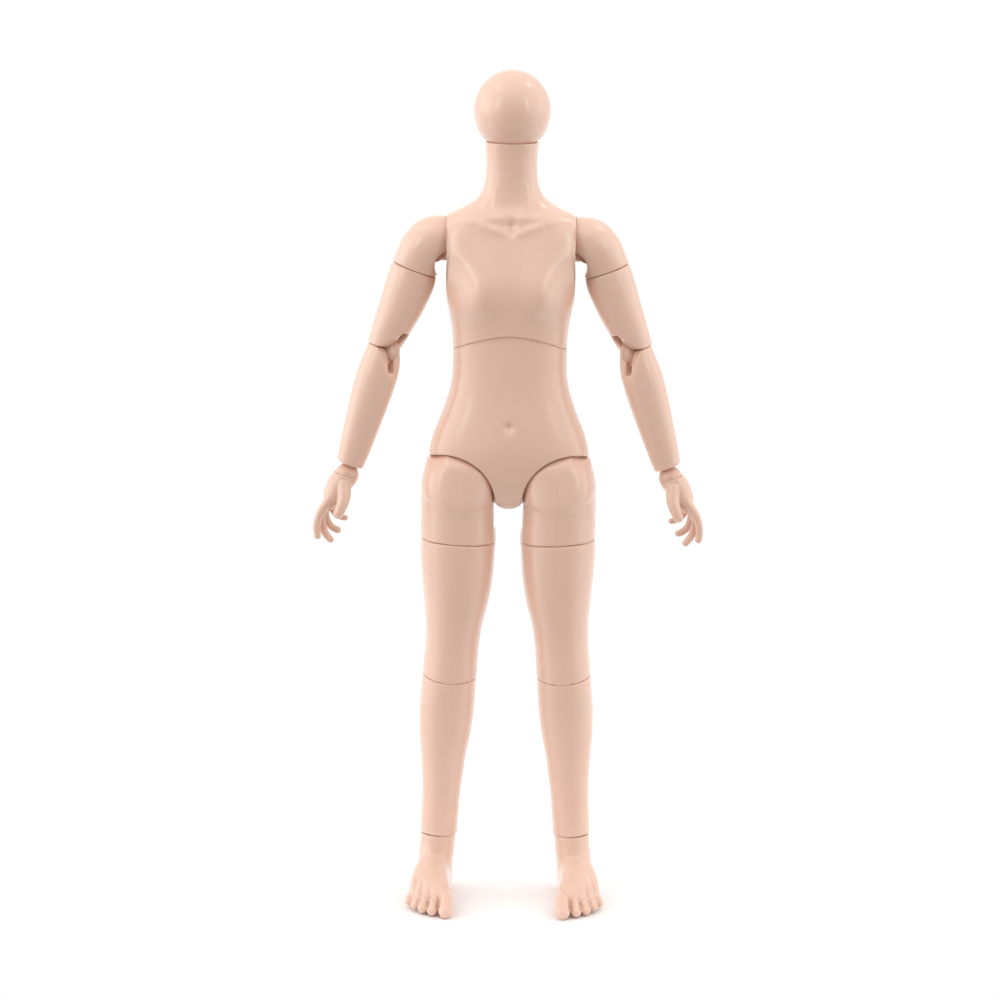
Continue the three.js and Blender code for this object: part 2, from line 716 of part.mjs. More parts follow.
// A finger as a round skin along a smooth path, with a rounded tip
function finger({ points, thick }, sides = 5, rows = 5) {
  const path = new THREE.CatmullRomCurve3(points.map((p) => new THREE.Vector3(...p)));
  const rings = [];
  const tip = 0.86;
  for (let k = 0; k <= rows; k++) {
    const t = k / rows;
    const round = t < tip ? 1 : Math.sqrt(1 - (0.9 * ((t - tip) / (1 - tip))) ** 2);
    const r = round * THREE.MathUtils.lerp(...thick, t);
    const middle = path.getPoint(t);
    const ahead = path.getTangent(t);
    const u = new THREE.Vector3().crossVectors(Y, ahead).normalize();
    const v = new THREE.Vector3().crossVectors(ahead, u);
    const ring = [];
    for (let i = 0; i < sides; i++) {
      const turn = (2 * Math.PI * (i + 0.5)) / sides;
      ring.push(middle.clone().addScaledVector(u, r * Math.cos(turn)).addScaledVector(v, r * Math.sin(turn)));
    }
    rings.push(ring);
  }
  return skin(rings);
}

// Built about the wrist's centre
function hand() {
  const palm = solid(loft(PALM_SECTIONS, { rows: 6, sides: 12, roundness: 2.3 }));
  const hole = WRIST_PIN.half + GAP;
  return cut(
    join(palm, ...FINGERS.map((shape) => solid(finger(shape)))),
    solid(ball(WRIST_BALL_RADIUS + GAP, 0, 0, 0, 12)),
    solid(rod(WRIST_PIN.radius + GAP, [0, -hole, 0], [0, hole, 0], 8)),
  );
}

// Leg pieces, for the doll's left side

const HIP_SLEEVE = { radius: 3.3, start: 5.4, end: 12.2 };
const HIP_EYE = 3.9;
const HIP_TONGUE = 5.4;
const HIP_PIN = { radius: 1.4, half: 8 };
const AXLE = { radius: 1.6, half: 11.4 };

function hipAxle() {
  return solid(rod(AXLE.radius, [-AXLE.half, 0, HIP.z], [AXLE.half, 0, HIP.z], 8));
}

function hipJoint() {
  const { x, z } = HIP;
  const half = HIP_TONGUE / 2;
  const sleeveEnd = HIP_SLEEVE.end;
  return cut(
    join(
      solid(rod(HIP_SLEEVE.radius, [HIP_SLEEVE.start, 0, z], [sleeveEnd, 0, z], 14)),
      solid(box(sleeveEnd - 1, x, -half, half, z - 2.4, z + 2.4)),
      solid(rod(HIP_EYE, [x, -half, z], [x, half, z], 14)),
    ),
    solid(rod(AXLE.radius + GAP, [0, 0, z], [AXLE.half + GAP, 0, z], 8)),
    solid(rod(HIP_PIN.radius + GAP, [x, -9, z], [x, 9, z], 8)),
  );
}

const THIGH_TOP_SECTIONS = [
  [112, 12.2, 12, 12.1, 16],
  [118, 12.2, 12.2, 12.4, 16],
  [124, 12.1, 12.4, 12.8, 16.1],
  [129, 12, 12.4, 13.2, 16.2],
  [134, 12, 12.4, 13.4, 16.1],
  [139, 11.9, 12.2, 13.2, 15.9],
  [144, 11.4, 11.8, 12.8, 15.2],
  [149, 10.8, 11.2, 12, 14.6],
];
const THIGH_PEG = { radius: 5, length: 6.5 };
const THIGH_FRAME = move(THIGH.x, 0, THIGH.z).multiply(spin(Y, -LEG_TILT));

function thighTop() {
  const { x, z } = HIP;
  const below = solid(box(CROTCH_WALL, FAR, -FAR, FAR, -FAR, z));
  const hole = HIP_PIN.half + GAP;
  const under = box(-FAR, FAR, -FAR, FAR, -FAR, GAP / 2);
  const bore = rod(THIGH_PEG.radius + GAP, [0, 0, -1], [0, 0, THIGH_PEG.length + GAP], 14);
  return cut(
    solid(loft(THIGH_TOP_SECTIONS, { rows: 6, sides: 18, roundness: 2.15 }))
      .intersect(join(solid(rod(HIP_BALL_RADIUS, [x, -FAR, z], [x, FAR, z], 24)), below))
      .intersect(join(solid(hipDome(0, 16)), below)),
    sideSwingRoom(
      {
        eye: HIP_EYE + GAP,
        half: HIP_SLEEVE.radius + GAP,
        reach: 20,
        from: -LEG_SPREAD,
        to: LEG_CLOSE,
        width: 2 * (HIP_SLEEVE.radius + GAP),
      },
      x,
      z,
    ),
    solid(rod(HIP_PIN.radius + GAP, [x, -hole, z], [x, hole, z], 8)),
    turned(join(solid(under), solid(bore)), THIGH_FRAME),
  );
}

const THIGH_SECTIONS = [
  [-47.65, 8.9, 9, 8, 0.1],
  [-40.65, 8.8, 9.2, 8.4, 0.1],
  [-35.65, 8.75, 9.1, 8.8, 0],
  [-27.65, 9.3, 9.6, 9.5, -0.2],
  [-19.65, 10.6, 10.8, 10.9, -0.4],
  [-11.65, 11.6, 11.8, 11.9, -0.2],
  [-4.65, 12.2, 12.1, 12.3, 0],
  [-GAP / 2, 12.3, 12.15, 12.35, 0],
];
const SHIN_SECTIONS = [
  [SHIN_END, 6, 6.15, 6.5, ANKLE_X],
  [-91.65, 6.1, 6.1, 6.5, 0.4],
  [-83.65, 6.3, 6.1, 6.9, 0.4],
  [-77.65, 6.8, 6.3, 7.8, 0.4],
  [-71.65, 7.4, 6.8, 9.2, 0.5],
  [-64.65, 8.35, 7.5, 10.3, 0.45],
  [-56.65, 8.9, 8.1, 10.2, 0.35],
  [-51.65, 8.9, 8.6, 9.2, 0.3],
  [-45.65, 8.8, 9, 8.4, 0.2],
  [-39.65, 8.8, 9.2, 8.2, 0.1],
];

function thigh() {
  const limb = join(
    solid(loft(THIGH_SECTIONS, { rows: 6, sides: 16 })),
    solid(rod(THIGH_PEG.radius, [0, 0, -2], [0, 0, THIGH_PEG.length], 14)),
  );
  return hingeEnd(limb, KNEE, 1, [0, 0, KNEE_PIN_Z], 0);
}

const ANKLE_PEG = { radius: 2.6, length: 10 };
const ANKLE_PIN = { radius: 1.1, half: 5 };

// Built in line with the thigh
function shin() {
  const limb = cut(
    solid(loft(SHIN_SECTIONS, { rows: 8, sides: 14 })),
    solid(rod(ANKLE_PEG.radius + GAP, ...[-1, ANKLE_PEG.length + GAP].map((z) => [ANKLE_X, 0, SHIN_END + z]))),
    solid(ball(FOOT_COLLAR_ROUND + GAP, ANKLE_X, 0, ANKLE_Z, 16)),
  );
  return hingeEnd(limb, KNEE, -1, [0, 0, KNEE_PIN_Z - KNEE_SPACING], 0);
}

// Built about the ankle's centre, with the shin's axis as Z; the pin lies along the foot's own X
function ankleJoint() {
  const pinHole = rod(ANKLE_PIN.radius + GAP, [-8, 0, 0], [8, 0, 0], 8);
  return cut(
    join(
      solid(ball(ANKLE_BALL_RADIUS, 0, 0, 0, 12)),
      solid(rod(ANKLE_PEG.radius, [0, 0, 0], [0, 0, SHIN_END - ANKLE_Z + ANKLE_PEG.length])),
    ),
    solid(pinHole.applyMatrix4(FOOT_LEVEL)),
  );
}

const FOOT_LEVEL = spin(Y, LEG_TILT).multiply(spin(Z, TOE_OUT));

// The foot's own frame has the ankle's centre over its origin and the sole at Z = -SOLE_DEPTH.
// Sections along the foot: [distance ahead of the ankle, half width, below, above, middle x]
const FOOT_BODY_SECTIONS = [
  [-10.4, 1.6, 4.4, 2.4, 0],
  [-9.4, 4, 5.6, 5, 0],
  [-7, 5.3, 6.4, 7.6, 0],
  [-3, 5.7, 6.6, 9.8, 0],
  [2, 5.8, 6.6, 10.6, 0.3],
  [8, 6.1, 6.4, 8.6, 0.6],
  [14, 6.8, 6.2, 5.2, 0.4],
  [19, 7.6, 6, 2.6, 0.1],
  [23.5, 7, 5, -0.6, -0.5],
];
const FOOT_MIDDLE_Z = 5.2;
const ANKLE_SECTIONS = [
  [-SOLE_DEPTH + 1, 5.4, 6, 8.6, 0],
  [-12, 5.8, 8.2, 8.2, 0],
  [-8, 5.8, 7.4, 7.3, 0],
  [-4, 5.75, 6.5, 6.6, 0],
  [0, 5.75, 6, 6.2, 0],
  [FOOT_COLLAR, 5.75, 5.9, 6.1, 0],
];
// Toes from the big one outwards: middle x, tip distance ahead of the ankle, radius
const TOES = [
  [-5.4, 29.4, 2.45],
  [-1.5, 28.6, 1.75],
  [1.7, 27.4, 1.7],
  [4.5, 25.6, 1.55],
  [6.8, 23.2, 1.4],
];
const TOE_LENGTH = 11;

function toe([x, tip, radius]) {
  const end = tip - radius;
  const height = -SOLE_DEPTH + radius * 0.86;
  const root = x * 0.84;
  const points = [
    [root, -(end - TOE_LENGTH), height + 3.6],
    [root + (x - root) * 0.6, -(end - 5), height + 2],
    [x, -end, height + 0.2],
    [x, -tip + 0.2, height - 0.3],
  ];
  return finger({ points, thick: [radius * 0.95, radius] }, 6, 3);
}

function foot() {
  const lie = new THREE.Matrix4().makeBasis(X, Z, new THREE.Vector3(0, -1, 0));
  const body = loft(FOOT_BODY_SECTIONS, { rows: 7, sides: 10, roundness: 2.3 });
  body.applyMatrix4(lie).translate(0, 0, FOOT_MIDDLE_Z - SOLE_DEPTH);
  const pinReach = ANKLE_PIN.half + GAP;
  return cut(
    join(
      solid(body),
      solid(loft(ANKLE_SECTIONS, { rows: 3, sides: 12 })).intersect(
        join(solid(ball(FOOT_COLLAR_ROUND, 0, 0, 0, 16)), solid(box(-FAR, FAR, -FAR, FAR, -FAR, 0))),
      ),
      ...TOES.map((shape) => solid(toe(shape))),
    ),
    solid(box(-FAR, FAR, -FAR, FAR, -FAR, -SOLE_DEPTH)),
    solid(ball(ANKLE_BALL_RADIUS + GAP, 0, 0, 0, 12)),
    solid(rod(ANKLE_PIN.radius + GAP, [-pinReach, 0, 0], [pinReach, 0, 0], 8)),
  );
}

// Assembly: each group turns about its own origin

const doll = new THREE.Group();

const pelvisHalves = halves(pelvis());
piece("pelvis_front", pelvisHalves.front, doll);
piece("pelvis_back", pelvisHalves.back, doll);
piece("hip_axle", hipAxle(), doll, STEEL);
piece("waist_turntable", turntable(), doll, JOINT);
piece("waist_cross", waistCross(), doll, STEEL);
piece("chest_post", chestPost(), doll, JOINT);
const chestHalves = halves(chest());
piece("chest_front", chestHalves.front, doll);
piece("chest_back", chestHalves.back, doll);
piece("neck_post", neckPost(), doll, JOINT);
const head = pivot("head", doll, 0, 0, HEAD_Z);
piece("head_ball", headBall(), head);
const headPin = solid(rod(HEAD_PIN_RADIUS, [-HEAD_PIN_HALF, 0, 0], [HEAD_PIN_HALF, 0, 0], 8));
piece("head_pin", headPin, head, STEEL);

function arm(name, side) {
  const trunk = new THREE.Group();
  trunk.scale.x = side;
  doll.add(trunk);
  piece(`${name}_shoulder_joint`, shoulderJoint(), trunk, JOINT);
  const shoulder = pivot(`${name}_shoulder`, trunk, SHOULDER.x, 0, SHOULDER.z);
  const { radius, half } = SHOULDER_PIN;
  piece(`${name}_shoulder_pin`, solid(rod(radius, [0, -half, 0], [0, half, 0], 8)), shoulder, STEEL);
  shoulder.rotation.y = -radians(ARM_TILT);
  piece(`${name}_shoulder_cap`, shoulderCap(), shoulder);
  const bicep = pivot(`${name}_bicep`, shoulder, BICEP.x, 0, BICEP.z);
  piece(`${name}_upper_arm`, upperArm(), bicep);
  const elbow = pivot(`${name}_elbow`, bicep, 0, 0, ELBOW_PIN_Z);
  piece(`${name}_elbow_upper_pin`, hingePin(ELBOW, ELBOW_TURN, 0), elbow, STEEL);
  piece(`${name}_elbow_link`, hingeLink(ELBOW, ELBOW_TURN), elbow, JOINT);
  piece(`${name}_elbow_lower_pin`, hingePin(ELBOW, ELBOW_TURN, -ELBOW_SPACING), elbow, STEEL);
  const lower = pivot(`${name}_forearm`, elbow, 0, 0, -ELBOW_SPACING);
  piece(`${name}_forearm`, forearm(), lower);
  const lean = pivot(`${name}_lean`, lower, 0, 0, ELBOW_SPACING / 2);
  lean.rotation.y = radians(FOREARM_TILT);
  const wrist = pivot(`${name}_wrist`, lean, 0, 0, WRIST_Z);
  piece(`${name}_wrist_joint`, wristJoint(), wrist, JOINT);
  const pin = rod(WRIST_PIN.radius, [0, -WRIST_PIN.half, 0], [0, WRIST_PIN.half, 0], 8);
  piece(`${name}_wrist_pin`, solid(pin), wrist, STEEL);
  piece(`${name}_hand`, hand(), wrist);
}

function leg(name, side) {
  const trunk = new THREE.Group();
  trunk.scale.x = side;
  doll.add(trunk);
  piece(`${name}_hip_joint`, hipJoint(), trunk, JOINT);
  const hip = [-HIP_PIN.half, HIP_PIN.half].map((y) => [HIP.x, y, HIP.z]);
  piece(`${name}_hip_pin`, solid(rod(HIP_PIN.radius, ...hip, 12)), trunk, STEEL);
  piece(`${name}_thigh_top`, thighTop(), trunk);
  const upper = pivot(`${name}_thigh`, trunk, THIGH.x, 0, THIGH.z);
  upper.rotation.y = -radians(LEG_TILT);
  piece(`${name}_thigh`, thigh(), upper);
  const knee = pivot(`${name}_knee`, upper, 0, 0, KNEE_PIN_Z);
  piece(`${name}_knee_upper_pin`, hingePin(KNEE, 0, 0), knee, STEEL);
  piece(`${name}_knee_link`, hingeLink(KNEE, 0), knee, JOINT);
  piece(`${name}_knee_lower_pin`, hingePin(KNEE, 0, -KNEE_SPACING), knee, STEEL);
  piece(`${name}_shin`, shin(), upper);
  const ankle = pivot(`${name}_ankle`, upper, ANKLE_X, 0, ANKLE_Z);
  piece(`${name}_ankle_joint`, ankleJoint(), ankle, JOINT);
  const level = pivot(`${name}_foot`, ankle);
  level.quaternion.setFromRotationMatrix(FOOT_LEVEL);
  const pin = rod(ANKLE_PIN.radius, [-ANKLE_PIN.half, 0, 0], [ANKLE_PIN.half, 0, 0], 8);
  piece(`${name}_ankle_pin`, solid(pin), level, STEEL);
  piece(`${name}_foot`, foot(), level);
}

for (const [name, side] of [["left", 1], ["right", -1]]) {
  arm(name, side);
  leg(name, side);
}

// The doll's origin lies on the floor, below its outline's middle
const outline = new THREE.Box3().setFromObject(doll);
doll.position.set(0, -(outline.min.y + outline.max.y) / 2, -outline.min.z);
const standing = new THREE.Group();
standing.name = "jointed_doll";
standing.add(doll);

export default standing;
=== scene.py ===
import math

import bmesh
import bpy
import numpy as np
from mathutils import Matrix, Vector


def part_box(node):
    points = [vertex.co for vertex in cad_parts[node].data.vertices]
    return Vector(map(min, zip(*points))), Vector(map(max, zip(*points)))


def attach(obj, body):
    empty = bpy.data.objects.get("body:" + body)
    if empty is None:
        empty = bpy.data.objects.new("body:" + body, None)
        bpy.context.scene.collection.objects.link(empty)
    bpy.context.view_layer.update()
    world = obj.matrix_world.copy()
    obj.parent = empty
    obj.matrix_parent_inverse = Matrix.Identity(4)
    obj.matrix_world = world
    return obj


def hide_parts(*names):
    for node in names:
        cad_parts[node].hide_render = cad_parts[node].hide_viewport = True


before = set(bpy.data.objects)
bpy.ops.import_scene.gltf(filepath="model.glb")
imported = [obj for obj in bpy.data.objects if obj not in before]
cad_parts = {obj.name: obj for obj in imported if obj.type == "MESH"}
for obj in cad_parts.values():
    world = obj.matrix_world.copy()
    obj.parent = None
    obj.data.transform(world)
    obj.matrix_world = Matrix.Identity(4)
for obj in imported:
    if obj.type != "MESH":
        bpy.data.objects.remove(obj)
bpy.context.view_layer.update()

# All forms are made in millimetres in the doll's own frame and scaled to metres at the end.
# Angles are in degrees.
MM = 0.001
FAR = 60
GAP = 0.3
SEAM = 0.08
HALF_LAP = 0.06

HEAD_Z = 257.1
HEAD_RADIUS = 12.2
HEAD_RISE = 12.9
NECK_TOP = 247.1
ARMHOLE_X = 20.4
WAIST_BALL_Z = 168.8
WAIST_BALL_RADIUS = 22
TURNTABLE_Z = 150
SHOULDER = (24.5, 212)
SHOULDER_BALL_RADIUS = 12.1
ARM_LIFT = 52
ARM_DROP = 8
ARM_TILT = 20
BICEP = (3.6, -7.3)
ELBOW_PIN_Z = -23.55
ELBOW_YAW = 38
FOREARM_TILT = 3.5
WRIST_Z = -43.2
FOREARM_END = -40.7
HAND_TOP = -43.3
WRIST_BALL_RADIUS = 3.85
HIP = (19.75, 132.3)
HIP_BALL_RADIUS = 15.3
HIP_BALL_ROUND = 17.2
HIP_BALL_SQUARE = 2.8
HIP_BALL_OUTER = 15.15
HIP_ROOM = 0.5
CROTCH_WALL = 4.6
CROTCH_ROUND = (4.9, 134.4)
LEG_SPREAD = 28
LEG_CLOSE = 3
LEG_TILT = 3.2
THIGH = (15.8, 119)
KNEE_PIN_Z = -40.05
SHIN_END = -98.15
ANKLE_Z = -101
ANKLE_X = 0.4
ANKLE_BALL_RADIUS = 4.6
FOOT_COLLAR_TOP = 2.75
FOOT_COLLAR_ROUND = 6.15
TOE_OUT = 8
SOLE_DEPTH = 18.15
KNEE = dict(spacing=10, fold=60, lip=2.3, reach=13, link_radius=4, link_width=5, knob=(0, 3.5))
ELBOW = dict(spacing=7, fold=60, lip=0, reach=9, link_radius=3, link_width=2.8, knob=(2.4, 3.4))


def move(x, y, z):
    return Matrix.Translation((x, y, z))


def spin(axis, degrees):
    return Matrix.Rotation(math.radians(degrees), 4, axis)


# The axle of the hips lies at Y 0 and the hip's height, so its box gives the doll's place.
low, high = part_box("hip_axle")
PLACE = Matrix.Translation((0, (low[1] + high[1]) / 2, (low[2] + high[2]) / 2 - HIP[1] * MM))

ARM_FRAME = move(SHOULDER[0], 0, SHOULDER[1]) @ spin("Y", -ARM_TILT)
BICEP_FRAME = ARM_FRAME @ move(BICEP[0], 0, BICEP[1])
ELBOW_FRAME = BICEP_FRAME @ move(0, 0, ELBOW_PIN_Z)
FOREARM_FRAME = ELBOW_FRAME @ move(0, 0, -ELBOW["spacing"])
FOREARM_LEAN = move(0, 0, ELBOW["spacing"] / 2) @ spin("Y", FOREARM_TILT)
WRIST_FRAME = FOREARM_FRAME @ FOREARM_LEAN @ move(0, 0, WRIST_Z)
THIGH_FRAME = move(THIGH[0], 0, THIGH[1]) @ spin("Y", -LEG_TILT)
KNEE_FRAME = THIGH_FRAME @ move(0, 0, KNEE_PIN_Z)
ANKLE_FRAME = THIGH_FRAME @ move(ANKLE_X, 0, ANKLE_Z)
FOOT_LEVEL = spin("Y", LEG_TILT) @ spin("Z", TOE_OUT)
FOOT_FRAME = ANKLE_FRAME @ FOOT_LEVEL


# Meshes as (points, faces) with numpy points, and as objects where they are cut

def transformed(shape, matrix):
    points, faces = shape
    m = np.array(matrix)
    return points @ m[:3, :3].T + m[:3, 3], faces


def skin(rings):
    """A closed skin over rings of points, from the lowest ring to the highest."""
    rings = np.asarray(rings, float)
    count, sides = rings.shape[:2]
    points = np.vstack([rings.reshape(-1, 3), rings[0].mean(0), rings[-1].mean(0)])
    faces = []
    for k in range(count - 1):
        for i in range(sides):
            a = k * sides + i
            b = k * sides + (i + 1) % sides
            faces.append((a, b, b + sides, a + sides))
    low_end = count * sides
    top = (count - 1) * sides
    for i in range(sides):
        n = (i + 1) % sides
        faces.append((low_end, n, i))
        faces.append((low_end + 1, top + i, top + n))
    return points, faces


def smooth_table(table, rows):
    """A table of sections as a smooth curve through them, evaluated at evenly spaced heights."""
    table = np.asarray(table, float)
    t, y = table[:, 0], table[:, 1:]
    slope = (y[1:] - y[:-1]) / (t[1:] - t[:-1])[:, None]
    d = np.empty_like(y)
    d[1:-1] = (y[2:] - y[:-2]) / (t[2:] - t[:-2])[:, None]
    d[0] = 1.5 * slope[0] - 0.5 * d[1]
    d[-1] = 1.5 * slope[-1] - 0.5 * d[-2]
    z = np.linspace(t[0], t[-1], rows + 1)
    k = np.clip(np.searchsorted(t, z, side="right") - 1, 0, len(t) - 2)
    h = (t[k + 1] - t[k])[:, None]
    u = ((z - t[k]) / (t[k + 1] - t[k]))[:, None]
    value = (
        (1 + 2 * u) * (1 - u) ** 2 * y[k]
        + u * (1 - u) ** 2 * h * d[k]
        + u ** 2 * (3 - 2 * u) * y[k + 1]
        + u ** 2 * (u - 1) * h * d[k + 1]
    )
    return z, value


def loft(table, rows=90, sides=96, roundness=2.1):
    heights, values = smooth_table(table, rows)
    turn = 2 * np.pi * np.arange(sides) / sides
    c, s = np.cos(turn), np.sin(turn)
    rings = []
    for z, (width, front, back, middle, *own) in zip(heights, values):
        power = 2 / (own[0] if own else roundness)
        across = np.sign(c) * np.abs(c) ** power
        along = np.sign(s) * np.abs(s) ** power
        depth = np.where(s < 0, front, back)
        rings.append(np.stack([middle + width * across, along * depth, np.full(sides, z)], 1))
    return skin(rings)


def swell(shape, x, z, wide, tall, push, back=False):
    """Raises a soft form: each point near the middle moves along Y by push, less with distance."""
    points, faces = shape
    on = (points[:, 1] > 0) == back
    far = ((points[:, 0] - x) / wide) ** 2 + ((points[:, 2] - z) / tall) ** 2
    side = np.minimum(1, np.abs(points[:, 1]) / 4)
    points[:, 1] += np.where(on, push * side * np.exp(-far), 0)
    return points, faces


def box(x0, x1, y0, y1, z0, z1):
    points = np.array([(x, y, z) for z in (z0, z1) for y in (y0, y1) for x in (x0, x1)], float)
    faces = [(0, 2, 3, 1), (4, 5, 7, 6), (0, 1, 5, 4), (2, 6, 7, 3), (0, 4, 6, 2), (1, 3, 7, 5)]
    return points, faces


def ball(radii, x, y, z, sides=72):
    polar = np.pi * (np.arange(sides // 2 - 1) + 1) / (sides // 2)
    turn = 2 * np.pi * np.arange(sides) / sides
    rings = [
        np.stack([np.sin(p) * np.cos(turn), np.sin(p) * np.sin(turn), np.full(sides, -np.cos(p))], 1)
        for p in polar
    ]
    points, faces = skin(rings)
    points[-2] = (0, 0, -1)
    points[-1] = (0, 0, 1)
    return points * np.asarray(radii) + (x, y, z), faces


def rod(radius, start, end, sides=48):
    start, end = Vector(start), Vector(end)
    lie = (end - start).to_track_quat("Z", "Y").to_matrix().to_4x4()
    turn = 2 * np.pi * np.arange(sides) / sides
    circle = np.stack([radius * np.cos(turn), radius * np.sin(turn), np.zeros(sides)], 1)
    tube = skin([circle, circle + (0, 0, (end - start).length)])
    return transformed(tube, Matrix.Translation(start) @ lie)


def plate(outline, thickness):
    """An outline of (y, z) points, counted so that it turns left, as a plate thick along X."""
    outline = np.asarray(outline, float)
    y, z = outline.T
    if np.sum(y * np.roll(z, -1) - np.roll(y, -1) * z) < 0:
        outline = outline[::-1]
    n = len(outline)
    half = thickness / 2
    points = np.vstack([
        np.column_stack([np.full(n, -half), outline]),
        np.column_stack([np.full(n, half), outline]),
    ])
    faces = [tuple(range(n))[::-1], tuple(range(n, 2 * n))]
    faces += [(i, (i + 1) % n, (i + 1) % n + n, i + n) for i in range(n)]
    return points, faces


def as_object(shape, name="form"):
    points, faces = shape
    mesh = bpy.data.meshes.new(name)
    mesh.from_pydata(points.tolist(), [], faces)
    mesh.update()
    made = bpy.data.objects.new(name, mesh)
    bpy.context.scene.collection.objects.link(made)
    return made


def solid(shape):
    """A shape as an object with triangles that face outwards."""
    made = as_object(shape)
    work = bmesh.new()
    work.from_mesh(made.data)
    bmesh.ops.triangulate(work, faces=work.faces)
    bmesh.ops.recalc_face_normals(work, faces=work.faces)
    work.to_mesh(made.data)
    work.free()
    return made


def settle(target):
    """Applies the modifiers of an object."""
    graph = bpy.context.evaluated_depsgraph_get()
    mesh = bpy.data.meshes.new_from_object(target.evaluated_get(graph))
    target.modifiers.clear()
    old = target.data
    target.data = mesh
    bpy.data.meshes.remove(old)
    return target


def combine(target, tools, operation):
    for tool in tools:
        if not isinstance(tool, bpy.types.Object):
            tool = solid(tool)
        step = target.modifiers.new("step", "BOOLEAN")
        step.operation = operation
        step.solver = "MANIFOLD"
        step.object = tool
        settle(target)
        mesh = tool.data
        bpy.data.objects.remove(tool)
        bpy.data.meshes.remove(mesh)
    return target


def cut(target, *tools):
    return combine(target, tools, "DIFFERENCE")


def join(target, *tools):
    return combine(target, tools, "UNION")


def keep(target, *tools):
    return combine(target, tools, "INTERSECT")


def reshape(target, matrix):
    target.data.transform(matrix)
    return target


def soften(target, voxel, rounds=3):
    """An even mesh of that size with softly rounded edges."""
    even = target.modifiers.new("even", "REMESH")
    even.mode = "VOXEL"
    even.voxel_size = voxel
    even.adaptivity = 0
    ease = target.modifiers.new("ease", "SMOOTH")
    ease.factor = 0.5
    ease.iterations = rounds
    settle(target)
    return target


def sculpt(target, change):
    """Moves the points of an object by change(points, normals) in millimetres."""
    mesh = target.data
    points = np.empty(len(mesh.vertices) * 3)
    normals = np.empty(len(mesh.vertices) * 3)
    mesh.vertices.foreach_get("co", points)
    mesh.vertex_normals.foreach_get("vector", normals)
    points = points.reshape(-1, 3)
    moved = points + change(points, normals.reshape(-1, 3))
    mesh.vertices.foreach_set("co", moved.ravel())
    mesh.update()
    return target


def near_line(points, path, width):
    """1 on a line through (x, z) points as seen from the front, falling off to 0 over that width."""
    flat = points[:, (0, 2)]
    least = np.full(len(flat), np.inf)
    for start, end in zip(np.array(path[:-1], float), np.array(path[1:], float)):
        span = end - start
        along = np.clip((flat - start) @ span / (span @ span), 0, 1)
        least = np.minimum(least, ((flat - start - along[:, None] * span) ** 2).sum(1))
    return np.exp(-least / width ** 2)


def near(points, x, z, wide, tall):
    return np.exp(-((points[:, 0] - x) / wide) ** 2 - ((points[:, 2] - z) / tall) ** 2)


def ease(target, group, rounds):
    """Smooths the points that group(points) picks, by its weight from 0 to 1."""
    mesh = target.data
    points = np.empty(len(mesh.vertices) * 3)
    mesh.vertices.foreach_get("co", points)
    weights = group(points.reshape(-1, 3))
    soft = target.vertex_groups.new(name="soft")
    for level in range(1, 11):
        picked = np.flatnonzero(np.round(weights * 10).astype(int) == level)
        if len(picked):
            soft.add(picked.tolist(), level / 10, "REPLACE")
    step = target.modifiers.new("ease", "SMOOTH")
    step.factor = 0.5
    step.iterations = rounds
    step.vertex_group = "soft"
    settle(target)
    target.vertex_groups.clear()
    return target


def clone(source, mirror=False):
    made = bpy.data.objects.new(source.name, source.data.copy())
    bpy.context.scene.collection.objects.link(made)
    if mirror:
        made.data.transform(Matrix.Diagonal((-1, 1, 1, 1)))
        made.data.flip_normals()
    return made


def swing_room(eye, half, reach, start, end, width):
    """The room for a tongue that hangs down from a pin along X and swings between two angles."""
    def at(angle, side, r):
        a = math.radians(angle)
        return (
            r * math.sin(a) + side * half * math.cos(a),
            -r * math.cos(a) + side * half * math.sin(a),
        )
    outline = [
        at(start, -1, 0), at(start, -1, reach), at((start + end) / 2, 0, reach * 1.3),
        at(end, 1, reach), at(end, 1, 0),
    ]
    return join(solid(plate(outline, width)), rod(eye, (-width / 2, 0, 0), (width / 2, 0, 0)))


def side_swing_room(x, z, **room):
    """The same room for a tongue that points inwards to -X from a pin along Y."""
    return reshape(swing_room(**room), move(x, 0, z) @ spin("Y", 90) @ spin("Z", -90))


# Double hinges

def hinge_outline(spacing, fold, lip, reach, **rest):
    r = spacing / 2 - SEAM / 2
    points = [(-reach, 4 * reach)]
    steps = 24
    for i in range(steps + 1):
        t = i / steps
        points.append((-reach * (1 - t), -r - lip * (1 - t) ** 2 * (1 + t)))
    for i in range(1, steps + 1):
        a = math.radians(fold) * i / steps
        points.append((r * math.sin(a), -r * math.cos(a)))
    y, z = points[-1]
    points += [(reach, z + (reach - y) * math.tan(math.radians(fold))), (reach, 4 * reach)]
    return points


def hinge_slot(room, reach, deep):
    points = [(-room, -deep)]
    steps = 16
    for i in range(steps + 1):
        a = math.pi / 2 * (1 - i / steps)
        points.append((-room * math.sin(a), room * math.cos(a)))
    return points + [(reach, room), (reach, -deep)]


def hinge_end(limb, hinge, side, place, yaw):
    """Cuts a limb's end for a double hinge: side 1 above the pins, -1 below them."""
    put = move(*place) @ spin("Z", yaw)
    keep_outline = hinge_outline(**{**hinge, "lip": side * hinge["lip"]})
    slot = hinge_slot(hinge["link_radius"] + GAP, 1.5 * hinge["reach"], 2 * hinge["spacing"])
    for outline, width, act in (
        (keep_outline, 4 * hinge["reach"], keep),
        (slot, hinge["link_width"] + 3 * SEAM, cut),
    ):
        act(limb, transformed(plate([(y, side * z) for y, z in outline], width), put))
    return limb


